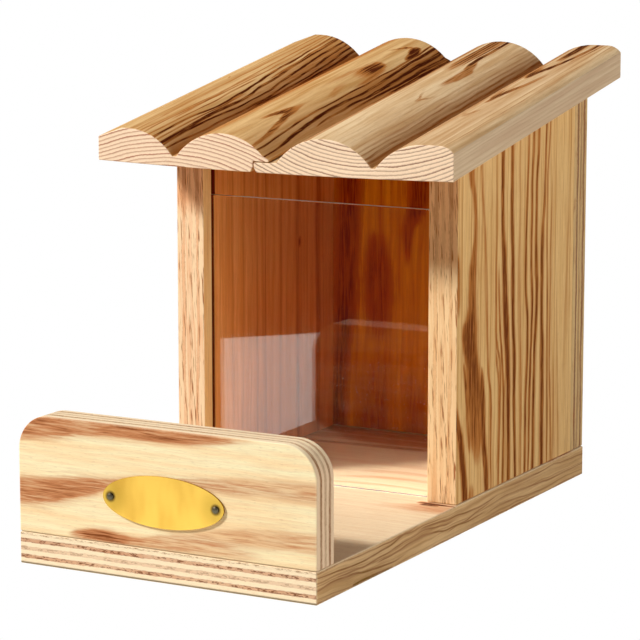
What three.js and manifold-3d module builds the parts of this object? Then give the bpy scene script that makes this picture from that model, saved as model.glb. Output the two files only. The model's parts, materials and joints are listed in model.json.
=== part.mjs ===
// Squirrel feeder box: a grooved wooden box on a long base, with a waved lid and a window.
// Millimetres. +X is the viewer's right, +Y runs from the front plate to the back, +Z is up.
// The origin is the middle of the base's underside.
import * as THREE from 'three';
import { mergeVertices } from 'three/addons/utils/BufferGeometryUtils.js';
import Module from 'manifold-3d';

const wasm = await Module();
wasm.setup();

// Clearances
const GLUE_LINE = 0.2; // between boards that are glued and screwed together
const SEAT_GAP = 0.3; // between pieces that only rest on each other
const HOLE_PLAY = 0.3; // round a screw in its hole
const RUNNING_PLAY = 0.1; // round a hinge pin
const OVERRUN = 2; // how far a cutter passes the faces it cuts

// Base board
const BASE_WIDTH = 150;
const BASE_DEPTH = 282;
const BASE_THICKNESS = 14.5;

// Front plate
const PLATE_HEIGHT = 53.5;
const PLATE_THICKNESS = 15.4;
const PLATE_CORNER = 16;

// Oval brass plate and its pins
const OVAL_WIDTH = 61;
const OVAL_HEIGHT = 23;
const OVAL_THICKNESS = 0.8;
const OVAL_ABOVE_BASE = 21.5;
const OVAL_PIN_INSET = 4; // from the oval's end to the pin's middle
const OVAL_PIN_RADIUS = 0.6;
const OVAL_PIN_LENGTH = 9;
const OVAL_PIN_HEAD = 1.6;
const OVAL_PIN_DOME = 0.9;

// Side walls and back panel
const WALL_THICKNESS = 15;
const WALL_INSET = 0.4; // from the base's side edge
const BOX_FRONT = 135; // from the base's front edge to the walls' front edges
const BACK_THICKNESS = 15;
const WALL_FRONT_HEIGHT = 162.3; // from the base to the roof's edges, above the walls' front edges
const ROOF_PITCH_DEGREES = 9.58;

// Window pane and its grooves
const PANE_THICKNESS = 3;
const REACH_GAP = 26.5; // from the pane's top to the roof, for a nose and a paw
const PANE_SETBACK = 7.6; // from the walls' front edges
const GROOVE_DEPTH = 5;
const GROOVE_PLAY = 0.25; // on each face of the pane
const PANE_END_PLAY = 0.5; // at the bottom of each groove

// Roof boards, their thicknesses measured square to the roof
const SIDE_OVERHANG = 17.3; // past each wall's outer face
const FRONT_OVERHANG = 41.4; // past the walls' front edges, measured level
const CREST_THICKNESS = 15.5;
const VALLEY_THICKNESS = 3.8;
const WAVE_PITCH = 50;
const VALLEY_FLAT = 2;
const UNDERSIDE_SAG = 1.3; // of the roof's middle below its side edges
const LEFT_EDGE_THICKNESS = 11;
const LEFT_BEVEL_WIDTH = 13;
const RIGHT_EDGE_THICKNESS = 12.3;
const RIGHT_ROUND_WIDTH = 7;

// Joint between the roof boards: the left board's lip lies over the right board's rebate
const JOINT_OFFSET = -0.7; // from the roof's middle to the lip's tip
const LIP_REACH = 8.2;
const LIP_THICKNESS = 1.2;
const REBATE_THICKNESS = 3.3;
const JOINT_FLAT = 3; // of rebate left bare beside the lip
const V_GROOVE_WIDTH = 2.8; // under the joint, half in each board
const V_GROOVE_DEPTH = 2.2;

// Battens that hold the roof boards together
const BATTEN_WIDTH = 18;
const BATTEN_THICKNESS = 12;
const BATTEN_END_GAP = 2; // to each wall
const FRONT_BATTEN_GAP = 9; // behind the pane
const REAR_BATTEN_GAP = 9; // in front of the back panel
const BATTEN_SCREW_SPACING = 16;

// Butt hinges
const LEAF_WIDTH = 26;
const LEAF_HEIGHT = 10.5; // from the pin's middle to the leaf's free edge
const LEAF_THICKNESS = 1;
const KNUCKLE_RADIUS = 2.1;
const MIDDLE_KNUCKLE_WIDTH = 12.4;
const KNUCKLE_PLAY = 0.3; // between knuckles, along the pin
const HINGE_PIN_RADIUS = 1;
const LEAF_SCREW_SPACING = 16;
const LEAF_SCREW_EDGE = 4; // from the leaf's free edge to its screws

// Screws
const WALL_SCREW = { head: 3.8, cone: 3, shank: 1.8, length: 40 };
const PLATE_SCREW = { head: 3.4, cone: 2.6, shank: 1.6, length: 35 };
const BATTEN_SCREW = { head: 3, cone: 2.2, shank: 1.4, length: 20 };
const LEAF_SCREW = { head: 2.1, cone: 0.9, shank: 0.9, length: 10 };
const SCREW_TIP_SHARE = 0.12; // of a screw's length
const SCREW_SINK = 0.3; // of a head below the face around it
const WALL_SCREW_FRONT = 30; // from the walls' front edges
const WALL_SCREW_REAR = 25; // from the back panel
const BACK_SCREW_LOW = 10; // above the tips of the walls' upright screws
const BACK_SCREW_DROP = 32; // below the panel's top
const BACK_FOOT_SCREW_SPACING = 70;
const PLATE_SCREW_SPACING = 90;

// Holes for hanging the box on a tree
const HANG_HOLE_RADIUS = 2.5;
const HANG_HOLE_INSET = 30; // from the base and from the panel's top

// Facets
const SCREW_SIDES = 12;
const HINGE_SIDES = 16;
const OVAL_SIDES = 64;
const CORNER_SIDES = 12;
const WAVE_SIDES = 16;
const UNDERSIDE_SIDES = 12;

// Places that follow from the sizes above
const BOARD_FOOT = BASE_THICKNESS + GLUE_LINE;
const WALL_OUTER = BASE_WIDTH / 2 - WALL_INSET;
const WALL_INNER = WALL_OUTER - WALL_THICKNESS;
const WALL_MIDDLE = (WALL_OUTER + WALL_INNER) / 2;
const BACK_FRONT = BASE_DEPTH - BACK_THICKNESS;
const BACK_MIDDLE = (BACK_FRONT + BASE_DEPTH) / 2;
const PANE_FRONT = BOX_FRONT + PANE_SETBACK;
const PANE_BACK = PANE_FRONT + PANE_THICKNESS;
const PITCH = THREE.MathUtils.degToRad(ROOF_PITCH_DEGREES);
const ROOF_HALF_WIDTH = WALL_OUTER + SIDE_OVERHANG;
const ROOF_FRONT = BOX_FRONT - FRONT_OVERHANG;
const ROOF_LENGTH = (BASE_DEPTH - ROOF_FRONT) / Math.cos(PITCH);
const ROOF_LOWEST = -UNDERSIDE_SAG;
const LIP_UNDERSIDE = REBATE_THICKNESS + SEAT_GAP;
const STEP_X = JOINT_OFFSET - LIP_REACH;
const WAVES_PER_BOARD = 2;
const WAVE_HALF = (WAVE_PITCH - VALLEY_FLAT) / 2;
const WAVE_RISE = CREST_THICKNESS - VALLEY_THICKNESS;
const WAVE_RADIUS = (WAVE_HALF ** 2 + WAVE_RISE ** 2) / (2 * WAVE_RISE);
const WAVE_ANGLE = Math.asin(WAVE_HALF / WAVE_RADIUS);
const LEFT_CREST = JOINT_OFFSET - WAVE_PITCH / 2;
const RIGHT_CREST = JOINT_OFFSET + JOINT_FLAT + WAVE_PITCH / 2;
const BATTEN_TOP = ROOF_LOWEST - SEAT_GAP;
const HINGE_Y = BASE_DEPTH + SEAT_GAP + KNUCKLE_RADIUS;
const HINGE_Z = plumbBelowRoof(BASE_DEPTH, ROOF_LOWEST - SEAT_GAP / 2);
const LEAF_OUTER_Y = HINGE_Y - KNUCKLE_RADIUS + LEAF_THICKNESS;
const HINGES = [['left', LEFT_CREST], ['right', RIGHT_CREST]]; // each under the crest next to the joint

const FACING = {
  up: -Math.PI / 2, // a screw driven up from below
  forward: 0, // driven from the back towards the front
  backward: Math.PI, // driven from the front towards the back
};

const COLOURS = {
  base: { color: 0xe6c79a, roughness: 0.7, metalness: 0 },
  plate: { color: 0xf3d6a0, roughness: 0.65, metalness: 0 },
  walls: { color: 0xc89b62, roughness: 0.65, metalness: 0 },
  roof: { color: 0xb98a55, roughness: 0.6, metalness: 0 },
  batten: { color: 0xd9b98a, roughness: 0.7, metalness: 0 },
  pane: { color: 0xe8ecea, roughness: 0.05, metalness: 0 },
  brass: { color: 0xe3b445, roughness: 0.3, metalness: 1 },
  steel: { color: 0x9a9a98, roughness: 0.4, metalness: 1 },
};

// Height of the roof's side edges' underside, above the base's underside, y behind the base's front
function roofLine(y) {
  return BASE_THICKNESS + WALL_FRONT_HEIGHT + (y - BOX_FRONT) * Math.tan(PITCH);
}

// A level measured square to the roof from its side edges' underside, as a height at y
function plumbBelowRoof(y, level) {
  return roofLine(y) + level / Math.cos(PITCH);
}

// The boards' underside bows down in the middle of the roof
function undersideAt(x) {
  return -UNDERSIDE_SAG * (1 - (x / ROOF_HALF_WIDTH) ** 2);
}

function roofCut(y) {
  return plumbBelowRoof(y, ROOF_LOWEST - SEAT_GAP);
}

function wallTop(y) {
  return plumbBelowRoof(y, undersideAt(WALL_INNER) - SEAT_GAP);
}

// Solids and meshes

function solidOf(geometry) {
  const bare = geometry.index ? geometry.toNonIndexed() : geometry.clone();
  bare.deleteAttribute('normal');
  bare.deleteAttribute('uv');
  const merged = mergeVertices(bare);
  const corners = [];
  for (let i = 0; i < merged.index.count; i += 3) {
    const [a, b, c] = [0, 1, 2].map((k) => merged.index.getX(i + k));
    if (a !== b && b !== c && c !== a) corners.push(a, b, c);
  }
  const mesh = new wasm.Mesh({
    numProp: 3,
    vertProperties: Float32Array.from(merged.attributes.position.array),
    triVerts: Uint32Array.from(corners),
  });
  return new wasm.Manifold(mesh);
}

function geometryOf(solid) {
  const mesh = solid.getMesh();
  const geometry = new THREE.BufferGeometry();
  geometry.setAttribute('position', new THREE.BufferAttribute(mesh.vertProperties, mesh.numProp));
  geometry.setIndex(new THREE.BufferAttribute(mesh.triVerts, 1));
  geometry.computeVertexNormals();
  return geometry;
}

function cut(geometry, cutters) {
  const solid = cutters.reduce((left, cutter) => left.subtract(solidOf(cutter)), solidOf(geometry));
  return geometryOf(solid);
}

function join(geometries) {
  const solids = geometries.map(solidOf);
  return geometryOf(solids.reduce((sum, solid) => sum.add(solid)));
}

function piece(name, geometry, colour) {
  const mesh = new THREE.Mesh(geometry, new THREE.MeshStandardMaterial(COLOURS[colour]));
  mesh.name = name;
  return mesh;
}

// A box between two corners
function block([x0, y0, z0], [x1, y1, z1]) {
  const geometry = new THREE.BoxGeometry(x1 - x0, y1 - y0, z1 - z0);
  geometry.translate((x0 + x1) / 2, (y0 + y1) / 2, (z0 + z1) / 2);
  return geometry;
}

function outline(points) {
  return new THREE.Shape(points.map(([x, y]) => new THREE.Vector2(x, y)));
}

// An outline in X and Z, drawn from y back to y + depth
function extrudeAlongY(shape, y, depth, curveSegments = CORNER_SIDES) {
  const geometry = new THREE.ExtrudeGeometry(shape, { depth, bevelEnabled: false, curveSegments });
  geometry.rotateX(Math.PI / 2);
  geometry.translate(0, y + depth, 0);
  return geometry;
}

// An outline in Y and Z, drawn from x to x + width
function extrudeAlongX(shape, x, width) {
  const geometry = new THREE.ExtrudeGeometry(shape, { depth: width, bevelEnabled: false });
  const axes = new THREE.Matrix4().makeBasis(
    new THREE.Vector3(0, 1, 0),
    new THREE.Vector3(0, 0, 1),
    new THREE.Vector3(1, 0, 0),
  );
  geometry.applyMatrix4(axes);
  geometry.translate(x, 0, 0);
  return geometry;
}

function revolve(points, sides) {
  return new THREE.LatheGeometry(points.map(([r, y]) => new THREE.Vector2(r, y)), sides);
}

// Screws: the head's top is at the origin and the tip points along -Y

function screwGeometry({ head, cone, shank, length }) {
  const shoulder = -length * (1 - SCREW_TIP_SHARE);
  return revolve([[0, -length], [shank, shoulder], [shank, -cone], [head, 0], [0, 0]], SCREW_SIDES);
}

function screwHoleGeometry(screw) {
  const shank = screw.shank + HOLE_PLAY;
  const head = screw.head + HOLE_PLAY;
  const bottom = -screw.length - HOLE_PLAY;
  const countersink = [[shank, -screw.cone], [head, 0], [head, OVERRUN], [0, OVERRUN]];
  return revolve([[0, bottom], [shank, bottom], ...countersink], SCREW_SIDES);
}

// A screw's place: { name, screw, x, y, z, facing }, its head's top at x, y, z
function screwPiece(place) {
  const mesh = piece(place.name, screwGeometry(place.screw), 'steel');
  mesh.position.set(place.x, place.y, place.z);
  mesh.rotation.x = place.facing;
  return mesh;
}

function screwHole(place) {
  const geometry = screwHoleGeometry(place.screw);
  geometry.rotateX(place.facing);
  geometry.translate(place.x, place.y, place.z);
  return geometry;
}

function bothSides(build) {
  return [['left', -1], ['right', 1]].map(([side, sign]) => build(side, sign)).flat();
}

// Where the box's screws go

function baseScrews(side, sign) {
  const z = SCREW_SINK;
  const facing = FACING.up;
  const wall = { screw: WALL_SCREW, x: sign * WALL_MIDDLE, z, facing };
  return [
    { name: `${side}_wall_front_screw`, ...wall, y: BOX_FRONT + WALL_SCREW_FRONT },
    { name: `${side}_wall_rear_screw`, ...wall, y: BACK_FRONT - WALL_SCREW_REAR },
    {
      name: `${side}_back_foot_screw`,
      screw: WALL_SCREW,
      x: sign * BACK_FOOT_SCREW_SPACING / 2,
      y: BACK_MIDDLE,
      z,
      facing,
    },
    {
      name: `${side}_front_plate_screw`,
      screw: PLATE_SCREW,
      x: sign * PLATE_SCREW_SPACING / 2,
      y: PLATE_THICKNESS / 2,
      z,
      facing,
    },
  ];
}

function backScrews(side, sign) {
  const y = BASE_DEPTH - SCREW_SINK;
  const shared = { screw: WALL_SCREW, x: sign * WALL_MIDDLE, y, facing: FACING.forward };
  return [
    { name: `${side}_back_lower_screw`, ...shared, z: WALL_SCREW.length + BACK_SCREW_LOW },
    { name: `${side}_back_upper_screw`, ...shared, z: roofCut(BASE_DEPTH) - BACK_SCREW_DROP },
  ];
}

function leafScrews(half, z) {
  return HINGES.flatMap(([side, crest]) => bothSides((end, sign) => [{
    name: `${side}_hinge_${half}_${end}_screw`,
    screw: LEAF_SCREW,
    x: crest + sign * LEAF_SCREW_SPACING / 2,
    y: LEAF_OUTER_Y - SCREW_SINK,
    z,
    facing: FACING.forward,
  }]));
}

const BASE_SCREWS = bothSides(baseScrews);
const BACK_SCREWS = bothSides(backScrews);
const LEAF_SCREW_HEIGHT = LEAF_HEIGHT - LEAF_SCREW_EDGE;
const LOWER_LEAF_SCREWS = leafScrews('lower', HINGE_Z - LEAF_SCREW_HEIGHT);
const UPPER_LEAF_SCREWS = leafScrews('upper', HINGE_Z + LEAF_SCREW_HEIGHT);

// The box

function baseBoard() {
  const half = BASE_WIDTH / 2;
  const board = block([-half, 0, 0], [half, BASE_DEPTH, BASE_THICKNESS]);
  return piece('base_board', cut(board, BASE_SCREWS.map(screwHole)), 'base');
}

function frontPlate() {
  const half = BASE_WIDTH / 2;
  const top = BASE_THICKNESS + PLATE_HEIGHT;
  const shape = new THREE.Shape();
  shape.moveTo(-half, BOARD_FOOT);
  shape.lineTo(half, BOARD_FOOT);
  shape.absarc(half - PLATE_CORNER, top - PLATE_CORNER, PLATE_CORNER, 0, Math.PI / 2);
  shape.absarc(PLATE_CORNER - half, top - PLATE_CORNER, PLATE_CORNER, Math.PI / 2, Math.PI);
  const plate = extrudeAlongY(shape, 0, PLATE_THICKNESS);
  const holes = [...BASE_SCREWS.map(screwHole), ...bothSides(ovalPinHole)];
  return piece('front_plate', cut(plate, holes), 'plate');
}

function ovalPinX(sign) {
  return sign * (OVAL_WIDTH / 2 - OVAL_PIN_INSET);
}

function ovalPinHole(side, sign) {
  const radius = OVAL_PIN_RADIUS + RUNNING_PLAY;
  const length = OVAL_PIN_LENGTH + SEAT_GAP;
  const hole = revolve([[0, -length], [radius, -length], [radius, OVERRUN], [0, OVERRUN]], SCREW_SIDES);
  hole.rotateX(FACING.backward);
  hole.translate(ovalPinX(sign), 0, BASE_THICKNESS + OVAL_ABOVE_BASE);
  return [hole];
}

function ovalPlate() {
  const shape = new THREE.Shape();
  shape.absellipse(0, BASE_THICKNESS + OVAL_ABOVE_BASE, OVAL_WIDTH / 2, OVAL_HEIGHT / 2, 0, 2 * Math.PI);
  const plate = extrudeAlongY(shape, -GLUE_LINE - OVAL_THICKNESS, OVAL_THICKNESS, OVAL_SIDES);
  return piece('oval_plate', cut(plate, bothSides(ovalPinHole)), 'brass');
}

// A round-headed pin: its head lies on the oval plate and its shank runs into the front plate
function ovalPin(side, sign) {
  const bend = Math.SQRT1_2;
  const dome = [[OVAL_PIN_HEAD, 0], [OVAL_PIN_HEAD * bend, OVAL_PIN_DOME * bend], [0, OVAL_PIN_DOME]];
  const point = OVAL_PIN_RADIUS - OVAL_PIN_LENGTH;
  const tip = [[0, -OVAL_PIN_LENGTH], [OVAL_PIN_RADIUS, point], [OVAL_PIN_RADIUS, 0]];
  const pin = piece(`oval_plate_${side}_pin`, revolve([...tip, ...dome], SCREW_SIDES), 'steel');
  pin.position.set(ovalPinX(sign), -OVAL_THICKNESS - 2 * GLUE_LINE, BASE_THICKNESS + OVAL_ABOVE_BASE);
  pin.rotation.x = FACING.backward;
  return pin;
}

function sideWall(side, sign) {
  const rear = BACK_FRONT - GLUE_LINE;
  const shape = outline([
    [BOX_FRONT, BOARD_FOOT],
    [rear, BOARD_FOOT],
    [rear, wallTop(rear)],
    [BOX_FRONT, wallTop(BOX_FRONT)],
  ]);
  const wall = extrudeAlongX(shape, Math.min(sign * WALL_OUTER, sign * WALL_INNER), WALL_THICKNESS);
  const mouth = sign * (WALL_INNER - OVERRUN);
  const bottom = sign * (WALL_INNER + GROOVE_DEPTH);
  const groove = block(
    [Math.min(mouth, bottom), PANE_FRONT - GROOVE_PLAY, BOARD_FOOT - OVERRUN],
    [Math.max(mouth, bottom), PANE_BACK + GROOVE_PLAY, roofLine(PANE_BACK) + OVERRUN],
  );
  const holes = [...BASE_SCREWS, ...BACK_SCREWS].map(screwHole);
  return piece(`${side}_wall`, cut(wall, [groove, ...holes]), 'walls');
}

function hangHole(z) {
  const length = BACK_THICKNESS + 2 * OVERRUN;
  const hole = new THREE.CylinderGeometry(HANG_HOLE_RADIUS, HANG_HOLE_RADIUS, length, HINGE_SIDES);
  hole.translate(0, BACK_MIDDLE, z);
  return hole;
}

function backPanel() {
  const shape = outline([
    [BACK_FRONT, BOARD_FOOT],
    [BASE_DEPTH, BOARD_FOOT],
    [BASE_DEPTH, roofCut(BASE_DEPTH)],
    [BACK_FRONT, roofCut(BACK_FRONT)],
  ]);
  const panel = extrudeAlongX(shape, -WALL_OUTER, 2 * WALL_OUTER);
  const hangHoles = [BASE_THICKNESS + HANG_HOLE_INSET, roofCut(BACK_FRONT) - HANG_HOLE_INSET].map(hangHole);
  const screwHoles = [...BASE_SCREWS, ...BACK_SCREWS, ...LOWER_LEAF_SCREWS].map(screwHole);
  return piece('back_panel', cut(panel, [...hangHoles, ...screwHoles]), 'walls');
}

function windowPane() {
  const half = WALL_INNER + GROOVE_DEPTH - PANE_END_PLAY;
  const foot = BASE_THICKNESS + SEAT_GAP;
  const top = roofCut(PANE_FRONT) - REACH_GAP;
  return piece('window_pane', block([-half, PANE_FRONT, foot], [half, PANE_BACK, top]), 'pane');
}

// Hinges, drawn round the pin's middle with the leaf on the wood's side of the pin

// A round bar along X
function rod(radius, length) {
  return new THREE.CylinderGeometry(radius, radius, length, HINGE_SIDES).rotateZ(Math.PI / 2);
}

function knuckle(x, width, leafSign) {
  const ring = rod(KNUCKLE_RADIUS, width).translate(x + width / 2, 0, 0);
  const reach = leafSign * (KNUCKLE_RADIUS + LEAF_THICKNESS);
  const web = block(
    [x, -KNUCKLE_RADIUS, Math.min(0, reach)],
    [x + width, LEAF_THICKNESS - KNUCKLE_RADIUS, Math.max(0, reach)],
  );
  return [ring, web];
}

function knucklePlaces(half) {
  const middle = MIDDLE_KNUCKLE_WIDTH / 2;
  if (half === 'upper') return [[-middle, MIDDLE_KNUCKLE_WIDTH]];
  const inner = middle + KNUCKLE_PLAY;
  const width = LEAF_WIDTH / 2 - inner;
  return [[-LEAF_WIDTH / 2, width], [inner, width]];
}

function leafGeometry(half) {
  const leafSign = half === 'upper' ? 1 : -1;
  const near = leafSign * (KNUCKLE_RADIUS + SEAT_GAP);
  const far = leafSign * LEAF_HEIGHT;
  const flat = block(
    [-LEAF_WIDTH / 2, -KNUCKLE_RADIUS, Math.min(near, far)],
    [LEAF_WIDTH / 2, LEAF_THICKNESS - KNUCKLE_RADIUS, Math.max(near, far)],
  );
  const knuckles = knucklePlaces(half).flatMap(([x, width]) => knuckle(x, width, leafSign));
  return join([flat, ...knuckles]);
}

function hingeLeaf(side, crest, half, screws) {
  const bore = rod(HINGE_PIN_RADIUS + RUNNING_PLAY, LEAF_WIDTH + 2 * OVERRUN);
  const holes = screws.map(screwHole).map((hole) => hole.translate(-crest, -HINGE_Y, -HINGE_Z));
  const leaf = piece(`${side}_hinge_${half}_leaf`, cut(leafGeometry(half), [bore, ...holes]), 'brass');
  leaf.position.set(crest, HINGE_Y, HINGE_Z);
  return leaf;
}

function hingePin(side, crest) {
  const pin = piece(`${side}_hinge_pin`, rod(HINGE_PIN_RADIUS, LEAF_WIDTH), 'steel');
  pin.position.set(crest, HINGE_Y, HINGE_Z);
  return pin;
}

// The waved roof boards: heights of the top along a board, d from the lip's tip or the bare rebate's end

function waveHeight(d) {
  const wave = Math.min(Math.floor(d / WAVE_PITCH), WAVES_PER_BOARD - 1);
  const fromCrest = d - (wave + 1 / 2) * WAVE_PITCH;
  if (wave === WAVES_PER_BOARD - 1 && fromCrest > 0) return CREST_THICKNESS;
  if (Math.abs(fromCrest) >= WAVE_HALF) return VALLEY_THICKNESS;
  return CREST_THICKNESS - WAVE_RADIUS + Math.sqrt(WAVE_RADIUS ** 2 - fromCrest ** 2);
}

// The left edge is planed to a flat bevel
function leftEdgeHeight(fromEdge) {
  const share = Math.min(fromEdge / LEFT_BEVEL_WIDTH, 1);
  return LEFT_EDGE_THICKNESS + share * (CREST_THICKNESS - LEFT_EDGE_THICKNESS);
}

// The right edge falls away in an arc that starts level
function rightEdgeHeight(fromEdge) {
  const drop = CREST_THICKNESS - RIGHT_EDGE_THICKNESS;
  const radius = (RIGHT_ROUND_WIDTH ** 2 + drop ** 2) / (2 * drop);
  const run = Math.max(RIGHT_ROUND_WIDTH - fromEdge, 0);
  return CREST_THICKNESS - radius + Math.sqrt(radius ** 2 - run ** 2);
}

// Distances at which the top's outline has a point: along each arc by equal angles, and at the edge
function topPlaces(width, edgeWidth) {
  const places = [width];
  for (let wave = 0; wave < WAVES_PER_BOARD; wave += 1) {
    for (let step = -WAVE_SIDES / 2; step <= WAVE_SIDES / 2; step += 1) {
      const angle = step * WAVE_ANGLE / (WAVE_SIDES / 2);
      places.push((wave + 1 / 2) * WAVE_PITCH + WAVE_RADIUS * Math.sin(angle));
    }
  }
  for (let step = 0; step < CORNER_SIDES / 2; step += 1) {
    places.push(width - edgeWidth * (1 - step / (CORNER_SIDES / 2)));
  }
  return places.filter((d) => d > 0 && d <= width).sort((a, b) => a - b);
}

function topOutline(width, edgeWidth, edgeHeight) {
  return topPlaces(width, edgeWidth).map((d) => [d, Math.min(waveHeight(d), edgeHeight(width - d))]);
}

// The bowed underside from one x to another
function undersideOutline(from, to) {
  const points = [];
  for (let step = 0; step <= UNDERSIDE_SIDES; step += 1) {
    const x = from + (to - from) * step / UNDERSIDE_SIDES;
    points.push([x, undersideAt(x)]);
  }
  return points;
}

function leftBoardOutline() {
  const width = JOINT_OFFSET + ROOF_HALF_WIDTH;
  const lipTop = LIP_UNDERSIDE + LIP_THICKNESS;
  const top = topOutline(width, LEFT_BEVEL_WIDTH, leftEdgeHeight);
  const aboveLip = top.filter(([d, z]) => z > lipTop || d > WAVE_PITCH / 2);
  const crown = aboveLip.map(([d, z]) => [JOINT_OFFSET - d, z]);
  const chamferX = STEP_X - V_GROOVE_WIDTH / 2;
  return outline([
    ...undersideOutline(-ROOF_HALF_WIDTH, chamferX),
    [STEP_X, undersideAt(STEP_X) + V_GROOVE_DEPTH],
    [STEP_X, LIP_UNDERSIDE],
    [JOINT_OFFSET, LIP_UNDERSIDE],
    [JOINT_OFFSET, lipTop],
    ...crown,
  ]);
}

function rightBoardOutline() {
  const start = JOINT_OFFSET + JOINT_FLAT;
  const top = topOutline(ROOF_HALF_WIDTH - start, RIGHT_ROUND_WIDTH, rightEdgeHeight);
  const crown = top.map(([d, z]) => [start + d, z]).reverse();
  const tongue = STEP_X + SEAT_GAP;
  return outline([
    ...undersideOutline(tongue + V_GROOVE_WIDTH / 2, ROOF_HALF_WIDTH),
    ...crown,
    [JOINT_OFFSET, REBATE_THICKNESS],
    [tongue, REBATE_THICKNESS],
    [tongue, undersideAt(tongue) + V_GROOVE_DEPTH],
  ]);
}

// A board's front and rear ends are cut plumb, so its outline is drawn slanting along the slope
function roofBoard(name, shape, holes) {
  const board = extrudeAlongY(shape, -ROOF_LENGTH, ROOF_LENGTH);
  const plumb = new THREE.Matrix4().makeShear(0, 0, 0, 0, 0, Math.tan(PITCH));
  board.applyMatrix4(plumb);
  return piece(name, cut(board, holes), 'roof');
}

// Battens and their screws, in the roof's own frame: Y runs up the slope from the rear end, Z square to it

const BATTENS = [
  ['front', PANE_BACK + FRONT_BATTEN_GAP + BATTEN_WIDTH / 2],
  ['rear', BACK_FRONT - REAR_BATTEN_GAP - BATTEN_WIDTH / 2],
].map(([name, y]) => [name, (y - BASE_DEPTH) / Math.cos(PITCH)]);

function battenScrews([name, y]) {
  return HINGES.flatMap(([side, crest]) => bothSides((end, sign) => [{
    name: `${name}_batten_${side}_board_${end}_screw`,
    screw: BATTEN_SCREW,
    x: crest + sign * BATTEN_SCREW_SPACING / 2,
    y,
    z: BATTEN_TOP - BATTEN_THICKNESS + SCREW_SINK,
    facing: FACING.up,
  }]));
}

const BATTEN_SCREWS = BATTENS.flatMap(battenScrews);

function batten([name, y]) {
  const half = WALL_INNER - BATTEN_END_GAP;
  const board = block(
    [-half, y - BATTEN_WIDTH / 2, BATTEN_TOP - BATTEN_THICKNESS],
    [half, y + BATTEN_WIDTH / 2, BATTEN_TOP],
  );
  return piece(`${name}_batten`, cut(board, BATTEN_SCREWS.map(screwHole)), 'batten');
}

// The groups

function buildBox() {
  const box = new THREE.Group();
  box.add(baseBoard(), frontPlate(), ovalPlate(), ...bothSides(ovalPin));
  box.add(...bothSides(sideWall), backPanel());
  box.add(...[...BASE_SCREWS, ...BACK_SCREWS, ...LOWER_LEAF_SCREWS].map(screwPiece));
  for (const [index, [side, crest]] of HINGES.entries()) {
    const screws = LOWER_LEAF_SCREWS.slice(2 * index, 2 * index + 2);
    box.add(hingeLeaf(side, crest, 'lower', screws), hingePin(side, crest));
  }
  return box;
}

function buildLid() {
  const lid = new THREE.Group();
  const roof = new THREE.Group();
  roof.position.set(0, BASE_DEPTH, roofLine(BASE_DEPTH));
  roof.rotation.x = PITCH;
  roof.updateMatrix();
  const intoRoof = roof.matrix.clone().invert();
  const endHoles = UPPER_LEAF_SCREWS.map((place) => screwHole(place).applyMatrix4(intoRoof));
  const holes = [...endHoles, ...BATTEN_SCREWS.map(screwHole)];
  roof.add(roofBoard('left_roof_board', leftBoardOutline(), holes));
  roof.add(roofBoard('right_roof_board', rightBoardOutline(), holes));
  roof.add(...BATTENS.map(batten), ...BATTEN_SCREWS.map(screwPiece));
  lid.add(roof, ...UPPER_LEAF_SCREWS.map(screwPiece));
  for (const [index, [side, crest]] of HINGES.entries()) {
    const screws = UPPER_LEAF_SCREWS.slice(2 * index, 2 * index + 2);
    lid.add(hingeLeaf(side, crest, 'upper', screws));
  }
  return lid;
}

function buildFeeder() {
  const feeder = new THREE.Group();
  feeder.position.y = -BASE_DEPTH / 2;
  feeder.add(buildBox(), windowPane(), buildLid());
  return feeder;
}

const model = new THREE.Group();
model.add(buildFeeder());

export default model;
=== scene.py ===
import json
import math

import bmesh
import bpy
from mathutils import Matrix, Vector

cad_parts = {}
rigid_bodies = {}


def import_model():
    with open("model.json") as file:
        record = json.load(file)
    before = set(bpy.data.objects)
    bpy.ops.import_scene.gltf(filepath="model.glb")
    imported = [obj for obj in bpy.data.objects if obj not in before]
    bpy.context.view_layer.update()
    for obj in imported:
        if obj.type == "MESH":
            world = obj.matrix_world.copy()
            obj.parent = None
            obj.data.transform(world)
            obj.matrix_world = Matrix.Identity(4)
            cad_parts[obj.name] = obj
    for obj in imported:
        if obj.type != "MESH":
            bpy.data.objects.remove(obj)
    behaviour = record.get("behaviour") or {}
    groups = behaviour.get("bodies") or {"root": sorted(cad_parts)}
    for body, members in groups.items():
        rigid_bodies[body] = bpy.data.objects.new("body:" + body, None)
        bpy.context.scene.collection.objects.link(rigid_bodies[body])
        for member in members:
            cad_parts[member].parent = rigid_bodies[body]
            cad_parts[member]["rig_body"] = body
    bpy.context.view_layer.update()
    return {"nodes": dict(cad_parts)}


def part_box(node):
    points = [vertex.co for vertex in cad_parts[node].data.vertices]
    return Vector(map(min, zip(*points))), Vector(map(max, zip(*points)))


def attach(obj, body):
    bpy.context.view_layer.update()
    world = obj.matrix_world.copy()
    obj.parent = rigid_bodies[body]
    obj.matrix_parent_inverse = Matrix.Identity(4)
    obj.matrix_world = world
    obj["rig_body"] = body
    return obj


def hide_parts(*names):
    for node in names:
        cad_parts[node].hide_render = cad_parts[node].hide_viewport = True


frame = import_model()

MM = 0.001
ROOF_PITCH = math.radians(9.58)

BOARD_ARRIS = 0.0006  # how far the saw-cut arrises are sanded back
ROOF_ARRIS = 0.0005
METAL_ARRIS = 0.00015
PANE_ARRIS = 0.0003
ARRIS_STEPS = 3
ARRIS_ANGLE = math.radians(30)  # an edge that turns less than this isn't an arris
CURVE_ANGLE = math.radians(12)  # faces that meet at less than this shade as one curve
ROUND_ANGLE = math.radians(32)  # the same on spun pieces and on the hinges' knuckles
FLAT_ANGLE = math.radians(0.1)  # faces that meet at less than this become one
CAD_MERGE = 1e-6  # vertices closer than this become one
SPUN_MERGE = 1e-7
HOLE_ROOM = 0.0007  # round a screw, where its hole's edges are
STRAIGHT = 0.7  # how much of a face's normal lies along an axis that the face looks along

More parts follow.
